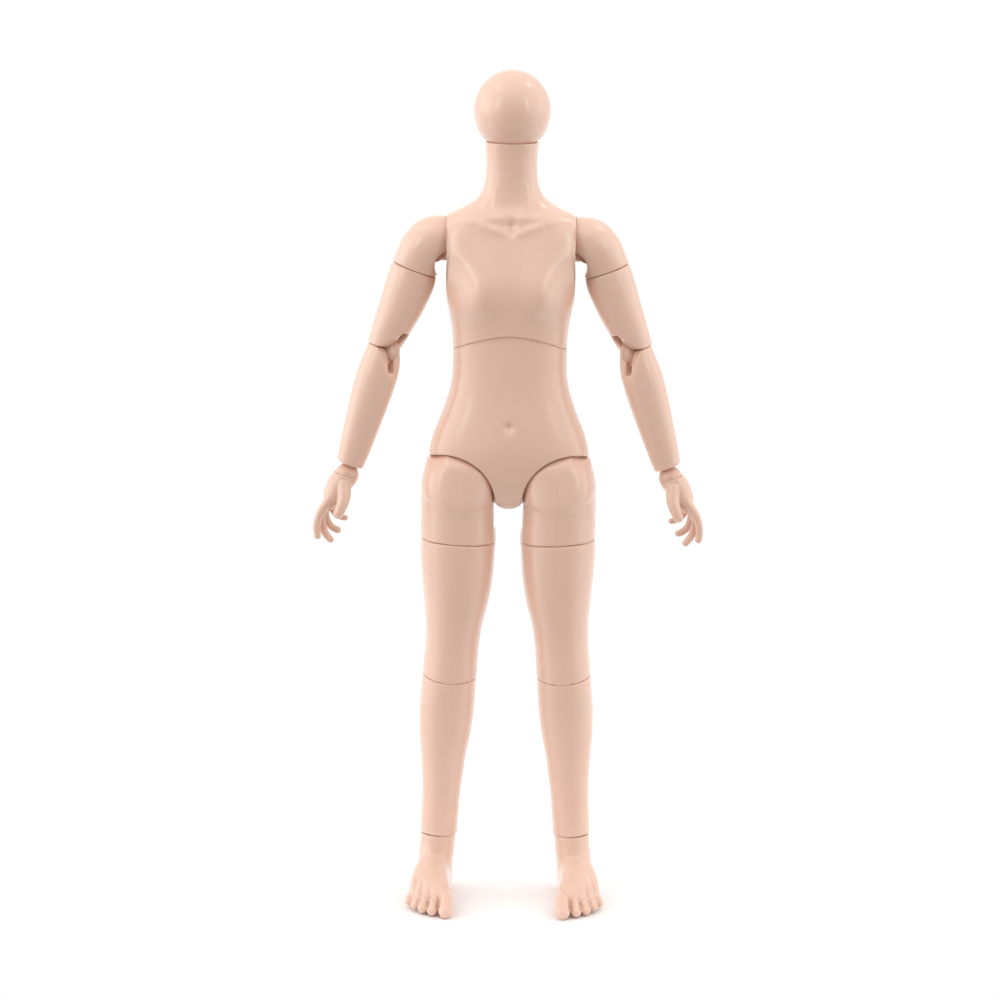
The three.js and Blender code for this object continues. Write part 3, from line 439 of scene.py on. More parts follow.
def hinge_link(spacing, link_radius, link_width, knob, yaw, **rest):
    outline = []
    steps = 32
    for i in range(steps + 1):
        a = math.pi * i / steps
        outline.append((link_radius * math.cos(a), link_radius * math.sin(a)))
    for i in range(steps + 1):
        a = math.pi + math.pi * i / steps
        outline.append((link_radius * math.cos(a), link_radius * math.sin(a) - spacing))
    link = solid(plate(outline, link_width))
    place, radius = knob
    join(link, ball((link_width / 2, radius, radius), 0, place, -spacing / 2, 48))
    return reshape(link, spin("Z", yaw))


# Trunk

CHEST_SECTIONS = [
    (170, 17.6, 12, 11.4, 0, 2.35), (176, 17.9, 12.1, 11.5, 0, 2.35), (181, 18.2, 12.4, 11.6, 0, 2.35),
    (187, 18.6, 13, 12, 0, 2.4), (192, 19.4, 13.5, 12.5, 0, 2.5), (196, 20.2, 13.8, 12.9, 0, 2.6),
    (200, 21.1, 13.8, 13.2, 0, 2.7), (204, 23.8, 13.7, 13.4, 0, 2.85), (208, 27.5, 13.5, 13.6, 0, 3),
    (213, 30, 13.3, 13.5, 0, 3.1), (219, 28.5, 12.2, 12.9, 0, 3),
    (222.4, 24, 11, 12.2, 0, 2.7), (224.6, 19.8, 10.2, 11.6, 0, 2.45), (226.4, 15.9, 9.6, 10.9, 0, 2.35),
    (227.8, 13.2, 9.1, 10.3, 0, 2.35), (229.5, 10.9, 8.7, 9.7, 0, 2.3), (232.2, 9.2, 8.3, 9.1, 0, 2.3),
    (235, 8.4, 8.1, 8.7, 0, 2.3), (239, 8.1, 8, 8.4, 0, 2.3), (243, 8.2, 8.1, 8.2, 0, 2.3),
    (NECK_TOP, 8.5, 8.5, 8.5, 0, 2.3),
]
PELVIS_SECTIONS = [
    (129.6, 20, 4.6, 5.6, 0), (131.5, 22, 7, 8, 0), (135, 24, 9.2, 10.8, 0),
    (141, 25.2, 11.4, 13.2, 0), (146.5, 25.7, 12.6, 14.4, 0), (150, 25.2, 12.9, 14.6, 0),
    (154.5, 23.9, 12.8, 14, 0), (160, 21.7, 12.6, 12.8, 0), (165, 20, 12.3, 11.8, 0),
    (169, 18.9, 12.1, 11.4, 0), (174, 18.3, 12, 11.3, 0), (181, 18.3, 12.1, 11.4, 0),
    (192, 18.6, 12.4, 11.6, 0),
]

# Soft forms: the middle's x and z, how wide and tall, how far along Y, and True for those of the back.
BREAST = (8.6, 203, 7.2, 9.5, -3.4)
COLLARBONE = (9.5, 224, 7, 2, -1)
SHOULDER_BLADE = (9, 214, 6, 8, 0.9, True)
THROAT_NOTCH = (0, 221.8, 2.4, 2.2, 1.2)
SPINE_LINE = (0, 200, 2.6, 22, -0.9, True)
BUTTOCK = (10, 145, 8, 9, 2, True)
BELLY = (0, 152, 9, 9, -1)
NAVEL = (0, 157.5, 1.3, 1.5, 1.4)
CLEFT = (0, 146, 2.2, 10, -2.2, True)

# Finer forms of the chest's front: how far out, the middle's x and z, how wide and tall.
MIDDLE_FORMS = [(0.6, 0, 223.2, 3, 2.4), (-0.4, 0, 219.6, 1, 1.6), (1.3, 0, 202, 5.8, 9.5)]
SIDE_FORMS = [(-0.4, 8.6, 225.4, 4, 2), (1.3, 10.4, 198, 6.8, 5.2)]
CLAVICLE = [(17, 222.6), (13, 222), (9, 221.3), (5, 220.3), (2.7, 219.4)]
NECK_CORD = [(6.9, 236), (5.2, 229), (2.8, 222)]


def swell_all(form, paired, single):
    """Raises the soft forms that lie on both sides, then those on the middle line."""
    for side in (-1, 1):
        for x, *rest in paired:
            swell(form, x * side, *rest)
    for soft in single:
        swell(form, *soft)


def chest_form():
    form = loft(CHEST_SECTIONS, 170, 144)
    swell_all(form, (BREAST, COLLARBONE, SHOULDER_BLADE), (THROAT_NOTCH, SPINE_LINE))
    return keep(solid(form), box(-ARMHOLE_X, ARMHOLE_X, -FAR, FAR, 160, 260))


def chest():
    hollows = [
        ball((HEAD_RISE + SEAM,) * 3, 0, 0, HEAD_Z, 96),
        ball((WAIST_BALL_RADIUS + SEAM,) * 3, 0, 0, WAIST_BALL_Z, 96),
    ]
    for side in (-1, 1):
        hollows.append(ball((SHOULDER_BALL_RADIUS + GAP,) * 3, side * SHOULDER[0], 0, SHOULDER[1]))
    return cut(chest_form(), *hollows)


def pelvis():
    form = loft(PELVIS_SECTIONS, 150, 144, 2.3)
    swell_all(form, (BUTTOCK,), (BELLY, NAVEL, CLEFT))
    radius, z = CROTCH_ROUND
    bounds = join(
        solid(ball((WAIST_BALL_RADIUS,) * 3, 0, 0, WAIST_BALL_Z, 96)),
        box(-FAR, FAR, -FAR, FAR, z, WAIST_BALL_Z + 3),
        rod(radius, (0, -FAR, z), (0, FAR, z), 96),
    )
    body = keep(solid(form), bounds)
    tools = [rod(9.8, (0, 0, TURNTABLE_Z - GAP), (0, 0, 200))]
    for side in (-1, 1):
        x = side * HIP[0]
        tools.append(rod(HIP_BALL_RADIUS + SEAM, (x, -FAR, HIP[1]), (x, FAR, HIP[1]), 96))
        tools.append(dome(side, HIP_ROOM))
    return cut(body, *tools)


def halves(body):
    """The front and the back of a shell, whose lips meet so that no light comes through the seam."""
    front = clone(body)
    keep(front, box(-FAR, FAR, -FAR, HALF_LAP, 0, 300))
    keep(body, box(-FAR, FAR, -HALF_LAP, FAR, 0, 300))
    return front, body


def on_side(path, side, lift=0):
    return [(x * side, z + lift) for x, z in path]


def chest_detail(points, normals):
    """Collarbones that meet in a notch, the cords of the neck, fuller breasts and rounder sides."""
    rise = sum(push * near(points, *place) for push, *place in MIDDLE_FORMS)
    for side in (-1, 1):
        rise += 0.2 * near_line(points, on_side(CLAVICLE, side), 1.5)
        rise += 0.25 * near_line(points, on_side(CLAVICLE[2:], side), 1.3)
        rise -= 0.18 * near_line(points, on_side(CLAVICLE[1:-1], side, 2.3), 1.2)
        rise += 0.3 * near_line(points, on_side(NECK_CORD, side), 1.6)
        for push, x, *place in SIDE_FORMS:
            rise += push * near(points, x * side, *place)
    moved = normals * (rise * np.clip(-normals[:, 1], 0, 1))[:, None]
    outer = np.clip((np.abs(points[:, 0]) - 12) / 8.4, 0, 1.2) ** 2
    chest_high = np.clip((points[:, 2] - 188) / 12, 0, 1) * np.clip((225 - points[:, 2]) / 6, 0, 1)
    ahead = np.clip((-points[:, 1] - 3) / 6, 0, 1) * np.clip(-2 * normals[:, 1], 0, 1)
    moved[:, 1] += 1.1 * outer * chest_high * ahead
    return moved


def brow(points):
    """The front of a thigh's round top, away from its rim."""
    ahead = np.clip((-points[:, 1] - 3) / 3, 0, 1)
    away = np.hypot(points[:, 0] - HIP[0], points[:, 2] - HIP[1])
    rim = np.clip((HIP_BALL_RADIUS - 0.5 - away) / 1.5, 0, 1)
    return ahead * rim * np.clip((points[:, 2] - 130) / 3, 0, 1)


def crease_detail(points, normals):
    """The soft crease under the round top of a thigh."""
    above = points[:, 2] - 129.6 - 0.03 * (points[:, 0] - 14.7) ** 2
    rise = 1.1 / (1 + np.exp(-above / 0.75)) * np.exp(-np.clip(above, 0, 30) ** 2 / 75)
    rise -= 0.2 * np.exp(-((above + 0.4) / 0.8) ** 2)
    line = 0.13 * np.exp(-((points[:, 0] - 15.1) / 0.4) ** 2) * np.clip((146 - points[:, 2]) / 4, 0, 1)
    return normals * ((rise + line) * np.clip(-normals[:, 1], 0, 1))[:, None]


def head_ball():
    """A ball, slimmer at its middle by HEAD_RISE less HEAD_RADIUS."""
    points, faces = ball((1, 1, 1), 0, 0, 0, 96)
    down = np.clip((np.degrees(np.arcsin(-np.clip(points[:, 2], -1, 0))) - 12) / 36, 0, 1)
    top = np.clip(points[:, 2], 0, 1) ** 2
    share = np.where(points[:, 2] < 0, down ** 2 * (3 - 2 * down), top)
    radius = HEAD_RADIUS + (HEAD_RISE - HEAD_RADIUS) * share
    return solid((points * radius[:, None] + (0, 0, HEAD_Z), faces))


# Arm, for the doll's left side

CAP_SECTIONS = [
    (-7.23, 7.4, 7.5, 7.5, 3.8), (-4.85, 7.7, 8, 8, 3.5), (-2, 8.3, 8.6, 8.6, 2.8),
    (0.9, 8.8, 9.1, 9.1, 2.1), (3.9, 8.8, 9.1, 9.1, 1.2), (7, 8.4, 8.4, 8.4, 0.2),
    (9.8, 6.6, 6.6, 6.6, -0.7), (11.4, 4, 4.2, 4.2, -1.2), (12.2, 1.4, 1.4, 1.4, -1.4),
]
UPPER_ARM_SECTIONS = [
    (-31, 5.3, 5.4, 5.4, 0.6), (-25, 5.6, 5.7, 5.7, 0.6), (-20, 6.2, 6.3, 6.3, 0.4),
    (-14, 6.9, 6.9, 6.9, 0), (-9, 7.4, 7.2, 7.2, -0.1), (-4, 7.7, 7.4, 7.4, -0.1),
    (-SEAM / 2, 7.4, 7.3, 7.3, 0.2),
]
FOREARM_SECTIONS = [
    (FOREARM_END, 4.3, 4.4, 4.4, 0), (-34, 5.05, 5, 5, 0), (-26, 5.7, 5.5, 5.5, 0),
    (-18, 6.3, 6, 6, 0), (-10, 6.6, 6.3, 6.3, 0), (-5, 6.2, 6.1, 6.1, 0),
    (-1, 5.8, 5.8, 5.8, 0), (4, 5.5, 5.6, 5.6, 0),
]
PALM_SECTIONS = [
    (-12, 1.9, 4.2, 4, 2.7), (-9.4, 2.9, 5.2, 4.9, 2.4), (-7, 3.5, 5.4, 5, 2.1),
    (-4, 4.1, 5, 4.7, 1.4), (-1.5, 4.3, 4.5, 4.4, 0.6), (HAND_TOP - WRIST_Z, 4.05, 4.3, 4.3, 0.35),
]
FINGERS = [
    ([(2.9, -4, -8), (4.6, -4.5, -13.5), (4.5, -4.3, -18), (2.9, -4.1, -22.4)], (1.55, 1.15)),
    ([(2.9, -1.4, -8.5), (4, -1.5, -15), (1.6, -1.5, -19.8), (-2, -1.4, -22.4)], (1.6, 1.15)),
    ([(2.8, 1.3, -8.5), (3.2, 1.3, -14.2), (0.2, 1.2, -18), (-3.6, 1.1, -18.8)], (1.5, 1.1)),
    ([(2.2, 3.7, -7.5), (1.8, 3.7, -12), (-1.1, 3.5, -14.4), (-4.6, 3.4, -14.5)], (1.75, 0.95)),
    ([(0.2, -2.8, -2.6), (-1.2, -5, -6.4), (-1.2, -6.2, -10), (-0.6, -6.6, -13.6)], (2.5, 1.55)),
]


def shoulder_joint():
    x, z = SHOULDER
    stem = keep(
        solid(rod(3, (9.4, 0, z), (x, 0, z))),
        join(solid(box(8.4, x + 5, -2.5, 2.5, z - 5, z + 5)), box(8.4, x - 10.1, -5, 5, z - 5, z + 5)),
    )
    return join(stem, rod(5, (9.4, 0, z), (11.4, 0, z)), rod(3.4, (x, -2.5, z), (x, 2.5, z)))


def shoulder_cap():
    room = side_swing_room(
        0, 0, eye=3.4 + GAP, half=3 + GAP, reach=15, start=-ARM_LIFT, end=ARM_DROP, width=5.4 + 2 * GAP,
    )
    join(room, rod(5.7, (-6, -FAR, -4.6), (-6, FAR, -4.6)))
    bounds = join(solid(ball((SHOULDER_BALL_RADIUS,) * 3, 0, 0, 0)), box(2, FAR, -FAR, FAR, -FAR, 2))
    form = keep(solid(loft(CAP_SECTIONS, 70, 96, 2.2)), bounds)
    return cut(form, reshape(room, spin("Y", ARM_TILT)))


def upper_arm():
    return hinge_end(solid(loft(UPPER_ARM_SECTIONS)), ELBOW, 1, (0, 0, ELBOW_PIN_Z), 90 + ELBOW_YAW)


def forearm():
    limb = cut(
        solid(loft(FOREARM_SECTIONS)),
        rod(1.9 + GAP, (0, 0, FOREARM_END - 1), (0, 0, FOREARM_END + 7)),
        ball((WRIST_BALL_RADIUS + SEAM,) * 3, 0, 0, WRIST_Z),
    )
    return hinge_end(reshape(limb, FOREARM_LEAN), ELBOW, -1, (0, 0, 0), 90 + ELBOW_YAW)


def wrist_joint():
    return join(
        solid(ball((WRIST_BALL_RADIUS,) * 3, 0, 0, 0, 48)),
        rod(1.9, (0, 0, 0), (0, 0, FOREARM_END - WRIST_Z + 7)),
    )


def path_through(points, count):
    """Even steps along a smooth curve through the points, and its directions."""
    points = np.asarray(points, float)
    ends = np.vstack([2 * points[0] - points[1], points, 2 * points[-1] - points[-2]])
    span = np.sqrt(np.linalg.norm(np.diff(ends, axis=0), axis=1))
    knots = np.concatenate([[0], np.cumsum(span)])
    out = []
    for t in np.linspace(0, len(points) - 1, count):
        k = min(int(t), len(points) - 2)
        p = ends[k:k + 4]
        q = knots[k:k + 4]
        u = q[1] + (t - k) * (q[2] - q[1])
        a = [((q[i + 1] - u) * p[i] + (u - q[i]) * p[i + 1]) / (q[i + 1] - q[i]) for i in range(3)]
        b = [((q[i + 2] - u) * a[i] + (u - q[i]) * a[i + 1]) / (q[i + 2] - q[i]) for i in range(2)]
        out.append(((q[2] - u) * b[0] + (u - q[1]) * b[1]) / (q[2] - q[1]))
    out = np.array(out)
    return out, np.gradient(out, axis=0)


def finger(points, thick, sides=28, rows=44):
    middle, ahead = path_through(points, rows + 1)
    steps = np.concatenate([[0], np.cumsum(np.linalg.norm(np.diff(middle, axis=0), axis=1))])
    length = steps[-1]
    turn = 2 * np.pi * np.arange(sides) / sides
    rings = []
    for p, v, s in zip(middle, ahead, steps):
        left = length - s
        r = thick[0] + (thick[1] - thick[0]) * s / length
        if left < thick[1]:
            r *= math.sqrt(max(0.02, 1 - (1 - left / thick[1]) ** 2))
        v = v / np.linalg.norm(v)
        u = np.cross((0, 1, 0), v)
        u /= np.linalg.norm(u)
        w = np.cross(v, u)
        rings.append(p + r * (np.outer(np.cos(turn), u) + np.outer(np.sin(turn), w)))
    return skin(rings)


def hand():
    palm = solid(loft(PALM_SECTIONS, 50, 64, 2.3))
    for points, thick in FINGERS:
        join(palm, finger(points, thick))
    return cut(palm, ball((WRIST_BALL_RADIUS + SEAM,) * 3, 0, 0, 0, 64))


# Leg, for the doll's left side

THIGH_TOP_SECTIONS = [
    (112, 12.2, 12, 12.1, 16, 2.15), (118, 12.2, 12.2, 12.4, 16, 2.15), (124, 12.1, 12.4, 12.8, 16.1, 2.15),
    (129, 12, 12.4, 13.2, 16.2, 2.2), (134, 12, 12.4, 13.4, 16.1, 2.35), (139, 11.9, 12.2, 13.2, 15.9, 2.5),
    (144, 11.4, 11.8, 12.8, 15.2, 2.6), (149, 10.8, 11.2, 12, 14.6, 2.6),
]
THIGH_SECTIONS = [
    (-47.65, 8.9, 9, 8, 0.1), (-40.65, 8.8, 9.2, 8.4, 0.1), (-35.65, 8.75, 9.1, 8.8, 0),
    (-27.65, 9.3, 9.6, 9.5, -0.2), (-19.65, 10.6, 10.8, 10.9, -0.4), (-11.65, 11.6, 11.8, 11.9, -0.2),
    (-4.65, 12.05, 12.1, 12.3, 0.15), (-SEAM / 2, 12.1, 12.15, 12.35, 0.2),
]
SHIN_SECTIONS = [
    (SHIN_END, 6, 6.15, 6.5, ANKLE_X), (-91.65, 6.1, 6.1, 6.5, 0.4), (-83.65, 6.3, 6.1, 6.9, 0.4),
    (-77.65, 6.8, 6.3, 7.8, 0.4), (-71.65, 7.4, 6.8, 9.2, 0.5), (-64.65, 8.35, 7.5, 10.3, 0.45),
    (-56.65, 8.9, 8.1, 10.2, 0.35), (-51.65, 8.9, 8.6, 9.2, 0.3), (-45.65, 8.8, 9, 8.4, 0.2),
    (-39.65, 8.8, 9.2, 8.2, 0.1),
]
FOOT_BODY_SECTIONS = [
    (-10.4, 1.5, 4.4, 2.4, 0.7), (-9.4, 3.6, 5.6, 5, 0.8), (-7, 4.8, 6.4, 7.6, 0.9),
    (-3, 5.3, 6.6, 9.8, 1.1), (2, 5.7, 6.6, 10.6, 1.2), (8, 6.3, 6.4, 8.8, 1.1),
    (13, 6.8, 6.2, 6.2, 0.5), (16.5, 6.9, 6, 3.9, -0.3), (19.5, 6, 5.4, 1.2, -1.6),
    (22, 4.4, 5, -0.9, -3.3), (23.5, 3, 4.6, -2.2, -4.6),
]
FOOT_MIDDLE_Z = 5.2
ANKLE_SECTIONS = [
    (-SOLE_DEPTH + 1, 5.2, 6, 8.6, 1.1), (-12, 5.6, 11, 8.2, 1.1), (-8, 5.7, 8.8, 7.3, 0.9),
    (-4, 5.75, 7, 6.6, 0.5), (0, 5.7, 6, 6.2, 0.1), (FOOT_COLLAR_TOP, 5.7, 5.9, 6.1, 0),
]
TOES = [
    (-6.8, 29.2, 2.4, 0), (-2.3, 27.5, 1.75, 0.3), (1.1, 25.8, 1.7, 0.4),
    (4, 23, 1.6, 0.6), (6.4, 19.6, 1.45, 0.8),
]
TOE_LENGTH = 8.5


def dome(side, room=0):
    """The barrel about X that a thigh's round top swings in: squarish on its inner side, a ball outside."""
    half = HIP_BALL_RADIUS + room
    long = HIP_BALL_ROUND + room
    outer = HIP_BALL_OUTER + room * 0.8
    sides, rows = 96, 60
    rings = []
    for k in range(rows + 1):
        x = -half * math.cos(math.pi * k / rows)
        if x > 0:
            r = math.sqrt(max(outer ** 2 - x ** 2, 0.01)) + (long - outer) * max(1 - x / 4, 0) ** 1.5
        else:
            r = long * max(1 - (-x / half) ** HIP_BALL_SQUARE, 1e-6) ** (1 / HIP_BALL_SQUARE)
        turns = [2 * math.pi * i / sides for i in range(sides)]
        ring = [(side * (HIP[0] + x), r * math.cos(a), HIP[1] + r * math.sin(a)) for a in turns]
        rings.append(ring if side > 0 else ring[::-1])
    return skin(rings)


def thigh_top():
    x, z = HIP
    form = solid(loft(THIGH_TOP_SECTIONS, 80, 112))
    for top in (rod(HIP_BALL_RADIUS, (x, -FAR, z), (x, FAR, z), 96), dome(1)):
        beside_crotch = box(CROTCH_WALL - SEAM, FAR, -FAR, FAR, 121, z)
        below = box(0, FAR, -FAR, FAR, 100, 122)
        keep(form, join(solid(top), beside_crotch, below))
    room = side_swing_room(
        x, z, eye=3.9 + GAP, half=3.3 + GAP, reach=20, start=-LEG_SPREAD, end=LEG_CLOSE, width=7.2,
    )
    under = transformed(box(-FAR, FAR, -FAR, FAR, -30, SEAM / 2), THIGH_FRAME)
    return cut(form, room, under)


def hip_joint():
    x, z = HIP
    return join(
        solid(rod(3.3, (5.4, 0, z), (12.2, 0, z))),
        box(11.2, x, -2.7, 2.7, z - 2.4, z + 2.4),
        rod(3.9, (x, -2.7, z), (x, 2.7, z)),
    )


def thigh():
    return hinge_end(solid(loft(THIGH_SECTIONS, 90, 112)), KNEE, 1, (0, 0, KNEE_PIN_Z), 0)


def shin():
    limb = cut(
        solid(loft(SHIN_SECTIONS, 110, 112)),
        rod(2.6 + GAP, (ANKLE_X, 0, SHIN_END - 1), (ANKLE_X, 0, SHIN_END + 10)),
        ball((FOOT_COLLAR_ROUND + SEAM,) * 3, ANKLE_X, 0, ANKLE_Z),
    )
    return hinge_end(limb, KNEE, -1, (0, 0, KNEE_PIN_Z - KNEE["spacing"]), 0)


def ankle_joint():
    return join(
        solid(ball((ANKLE_BALL_RADIUS,) * 3, 0, 0, 0, 48)),
        rod(2.6, (0, 0, 0), (0, 0, SHIN_END - ANKLE_Z + 10)),
    )


def toe(x, tip, radius, lift):
    """A toe that runs down from the foot's back to the sole, by its place, tip, radius and lift."""
    end = tip - radius
    height = -SOLE_DEPTH + radius * 0.86 + lift
    root = x * 0.84
    points = [
        (root, -(end - TOE_LENGTH), height + 3),
        (root + (x - root) * 0.6, -(end - 4.5), height + 2),
        (x, -end, height + 0.2),
        (x, -tip + 0.2, height - 0.3),
    ]
    return finger(points, (radius * 0.95, radius))


def foot():
    lie = Matrix(((1, 0, 0, 0), (0, 0, -1, 0), (0, 1, 0, 0), (0, 0, 0, 1)))
    place = move(0, 0, FOOT_MIDDLE_Z - SOLE_DEPTH) @ lie
    body = solid(transformed(loft(FOOT_BODY_SECTIONS, 70, 80, 2.3), place))
    collar = join(solid(ball((FOOT_COLLAR_ROUND,) * 3, 0, 0, 0)), box(-FAR, FAR, -FAR, FAR, -FAR, 0))
    join(body, keep(solid(loft(ANKLE_SECTIONS, 60, 80)), collar))
    for shape in TOES:
        join(body, toe(*shape))
    ground = box(-FAR, FAR, -FAR, FAR, -FAR, -SOLE_DEPTH)
    return cut(body, ground, ball((ANKLE_BALL_RADIUS + GAP,) * 3, 0, 0, 0, 48))


def instep(points):
    """Where a foot is smooth: behind the toes and above the sole."""
    behind = np.clip((17 + points[:, 1]) / 3, 0, 1)
    above = np.clip((points[:, 2] + SOLE_DEPTH - 0.6) / 2, 0, 1)
    below = np.clip((1.2 - points[:, 2]) / 1, 0, 1)
    return behind * above * below


def toe_detail(points, normals):
    """Grooves that run back between the toes."""
    ahead = -points[:, 1]
    rise = np.zeros(len(points))
    for (x, tip, radius, lift), (next_x, next_tip, next_radius, next_lift) in zip(TOES[:-1], TOES[1:]):
        middle = (x + radius + next_x - next_radius) / 2
        start = (tip + next_tip) / 2 - TOE_LENGTH
        along = np.clip((ahead - start) / TOE_LENGTH, 0, 1)
        line = middle * (0.88 + 0.12 * along)
        rise -= 0.8 * np.exp(-((points[:, 0] - line) / 0.5) ** 2) * np.clip((ahead - start) / 3, 0, 1)
    return normals * (rise * np.clip(normals[:, 2], 0, 1))[:, None]


# Materials

def node_material(name):
    made = bpy.data.materials.new(name)
    made.use_nodes = True
    tree = made.node_tree
    shader = tree.nodes["Principled BSDF"]
    return made, tree, shader


def plastic(name, light, dark, roughness):
    """Satin vinyl: a soft change of tone, a fine skin of bumps and a little depth."""
    made, tree, shader = node_material(name)
    nodes, links = tree.nodes, tree.links
    place = nodes.new("ShaderNodeTexCoord")
    broad = nodes.new("ShaderNodeTexNoise")
    broad.inputs["Scale"].default_value = 28
    broad.inputs["Detail"].default_value = 3
    tone = nodes.new("ShaderNodeMixRGB")
    tone.inputs["Color1"].default_value = (*light, 1)
    tone.inputs["Color2"].default_value = (*dark, 1)
    fine = nodes.new("ShaderNodeTexNoise")
    fine.inputs["Scale"].default_value = 2600
    fine.inputs["Detail"].default_value = 2
    bump = nodes.new("ShaderNodeBump")
    bump.inputs["Strength"].default_value = 0.06
    bump.inputs["Distance"].default_value = 0.0001
    gloss = nodes.new("ShaderNodeMapRange")
    gloss.inputs["To Min"].default_value = roughness - 0.05
    gloss.inputs["To Max"].default_value = roughness + 0.06
    links.new(place.outputs["Object"], broad.inputs["Vector"])
    links.new(place.outputs["Object"], fine.inputs["Vector"])
    links.new(broad.outputs["Fac"], tone.inputs["Fac"])
    links.new(broad.outputs["Fac"], gloss.inputs["Value"])
    links.new(gloss.outputs["Result"], shader.inputs["Roughness"])
    links.new(tone.outputs["Color"], shader.inputs["Base Color"])
    links.new(fine.outputs["Fac"], bump.inputs["Height"])
    links.new(bump.outputs["Normal"], shader.inputs["Normal"])
    shader.inputs["Subsurface Weight"].default_value = 0.12
    shader.inputs["Subsurface Radius"].default_value = (1.0, 0.45, 0.3)
    shader.inputs["Subsurface Scale"].default_value = 0.0015
    shader.inputs["IOR"].default_value = 1.5
    shader.inputs["Coat Weight"].default_value = 1
    shader.inputs["Coat Roughness"].default_value = 0.2
    shader.inputs["Coat IOR"].default_value = 1.5
    return made


def steel(name):
    made, tree, shader = node_material(name)
    nodes, links = tree.nodes, tree.links
    place = nodes.new("ShaderNodeTexCoord")
    grain = nodes.new("ShaderNodeTexNoise")
    grain.inputs["Scale"].default_value = 1500
    gloss = nodes.new("ShaderNodeMapRange")
    gloss.inputs["To Min"].default_value = 0.22
    gloss.inputs["To Max"].default_value = 0.4
    links.new(place.outputs["Object"], grain.inputs["Vector"])
    links.new(grain.outputs["Fac"], gloss.inputs["Value"])
    links.new(gloss.outputs["Result"], shader.inputs["Roughness"])
    shader.inputs["Base Color"].default_value = (0.62, 0.63, 0.65, 1)
    shader.inputs["Metallic"].default_value = 1
    return made


SKIN = plastic("satin_skin", (0.81, 0.545, 0.42), (0.79, 0.52, 0.4), 0.4)
JOINT = plastic("satin_joint", (0.78, 0.51, 0.39), (0.74, 0.47, 0.35), 0.42)
STEEL = steel("ground_steel")


# Pieces

def finish(made, name, body, node, frame_matrix, material, mirror=False):
    """Puts a form in its place in metres and gives it to its body in place of its CAD node."""
    place = frame_matrix or Matrix.Identity(4)
    if mirror:
        made.data.transform(Matrix.Diagonal((-1, 1, 1, 1)) @ place)
        made.data.flip_normals()
    else:
        made.data.transform(place)
    made.data.transform(PLACE @ Matrix.Scale(MM, 4))
    made.name = name
    made.data.name = name
    made.data.materials.clear()
    made.data.materials.append(material)
    made.data.shade_smooth()
    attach(made, body)
    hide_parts(node)
    return made


for part, build in (("chest", chest), ("pelvis", pelvis)):
    for half, made in zip(("front", "back"), halves(build())):
        node = f"{part}_{half}"
        soften(made, 0.3 if half == "front" else 0.4)
        if node == "chest_front":
            sculpt(made, chest_detail)
        finish(made, f"look_{node}", "chest" if part == "chest" else "hips", node, None, SKIN)

finish(soften(head_ball(), 0.4), "look_head_ball", "head", "head_ball", None, SKIN)

LIMBS = [
    ("shoulder_joint", shoulder_joint, 0.3, "shoulder", None, JOINT),
    ("shoulder_cap", shoulder_cap, 0.35, "cap", ARM_FRAME, SKIN),
    ("upper_arm", upper_arm, 0.35, "upper_arm", BICEP_FRAME, SKIN),
    ("elbow_link", lambda: hinge_link(**ELBOW, yaw=90 + ELBOW_YAW), 0.2, "elbow", ELBOW_FRAME, JOINT),
    ("forearm", forearm, 0.35, "forearm", FOREARM_FRAME, SKIN),
    ("wrist_joint", wrist_joint, 0.25, "wrist", WRIST_FRAME, JOINT),
    ("hand", hand, 0.22, "hand", WRIST_FRAME, SKIN),
    ("hip_joint", hip_joint, 0.35, "hip", None, JOINT),
    ("thigh_top", thigh_top, 0.4, "thigh_top", None, SKIN),
    ("thigh", thigh, 0.4, "thigh", THIGH_FRAME, SKIN),
    ("knee_link", lambda: hinge_link(**KNEE, yaw=0), 0.3, "knee", KNEE_FRAME, JOINT),
    ("shin", shin, 0.35, "shin", THIGH_FRAME, SKIN),
    ("ankle_joint", ankle_joint, 0.3, "ankle", ANKLE_FRAME, JOINT),
    ("foot", foot, 0.25, "foot", FOOT_FRAME, SKIN),
]
for part, build, voxel, body, place, material in LIMBS:
    left = soften(build(), voxel)
    if part == "thigh_top":
        sculpt(ease(left, brow, 160), crease_detail)
    if part == "foot":
        sculpt(ease(left, instep, 130), toe_detail)
    right = clone(left)
    finish(left, f"look_left_{part}", f"left_{body}", f"left_{part}", place, material)
    finish(right, f"look_right_{part}", f"right_{body}", f"right_{part}", place, material, True)

for node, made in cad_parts.items():
    if made.hide_render:
        continue
    made.data.materials.clear()
    made.data.materials.append(STEEL if node.endswith(("pin", "axle", "cross")) else JOINT)


# Floor, light and camera

CHEST_MIDDLE = (0, 0, 0.19)
HEAD_MIDDLE = (0, 0, 0.24)
CAMERA_PLACE = (0, -1.2, 0.375)
CAMERA_DOWN = 11.463
CAMERA_ROLL = 0.6


def floor():
    corners = np.array([(-2, -0.075, 0), (2, -0.075, 0), (2, 9, 0), (-2, 9, 0)], float)
    made = as_object((corners, [(0, 1, 2, 3)]), "floor")
    paint, tree, shader = node_material("floor")
    noise = tree.nodes.new("ShaderNodeTexNoise")
    noise.inputs["Scale"].default_value = 3
    tone = tree.nodes.new("ShaderNodeMixRGB")
    tone.inputs["Color1"].default_value = (0.94, 0.94, 0.945, 1)
    tone.inputs["Color2"].default_value = (0.92, 0.92, 0.925, 1)
    tree.links.new(noise.outputs["Fac"], tone.inputs["Fac"])
    tree.links.new(tone.outputs["Color"], shader.inputs["Base Color"])
    shader.inputs["Roughness"].default_value = 0.9
    shader.inputs["Specular IOR Level"].default_value = 0.1
    made.data.materials.append(paint)


def place_light(name, data, place, target):
    made = bpy.data.objects.new(name, data)
    made.location = place
    made.rotation_euler = (Vector(target) - Vector(place)).to_track_quat("-Z", "Y").to_euler()
    bpy.context.scene.collection.objects.link(made)
    return made


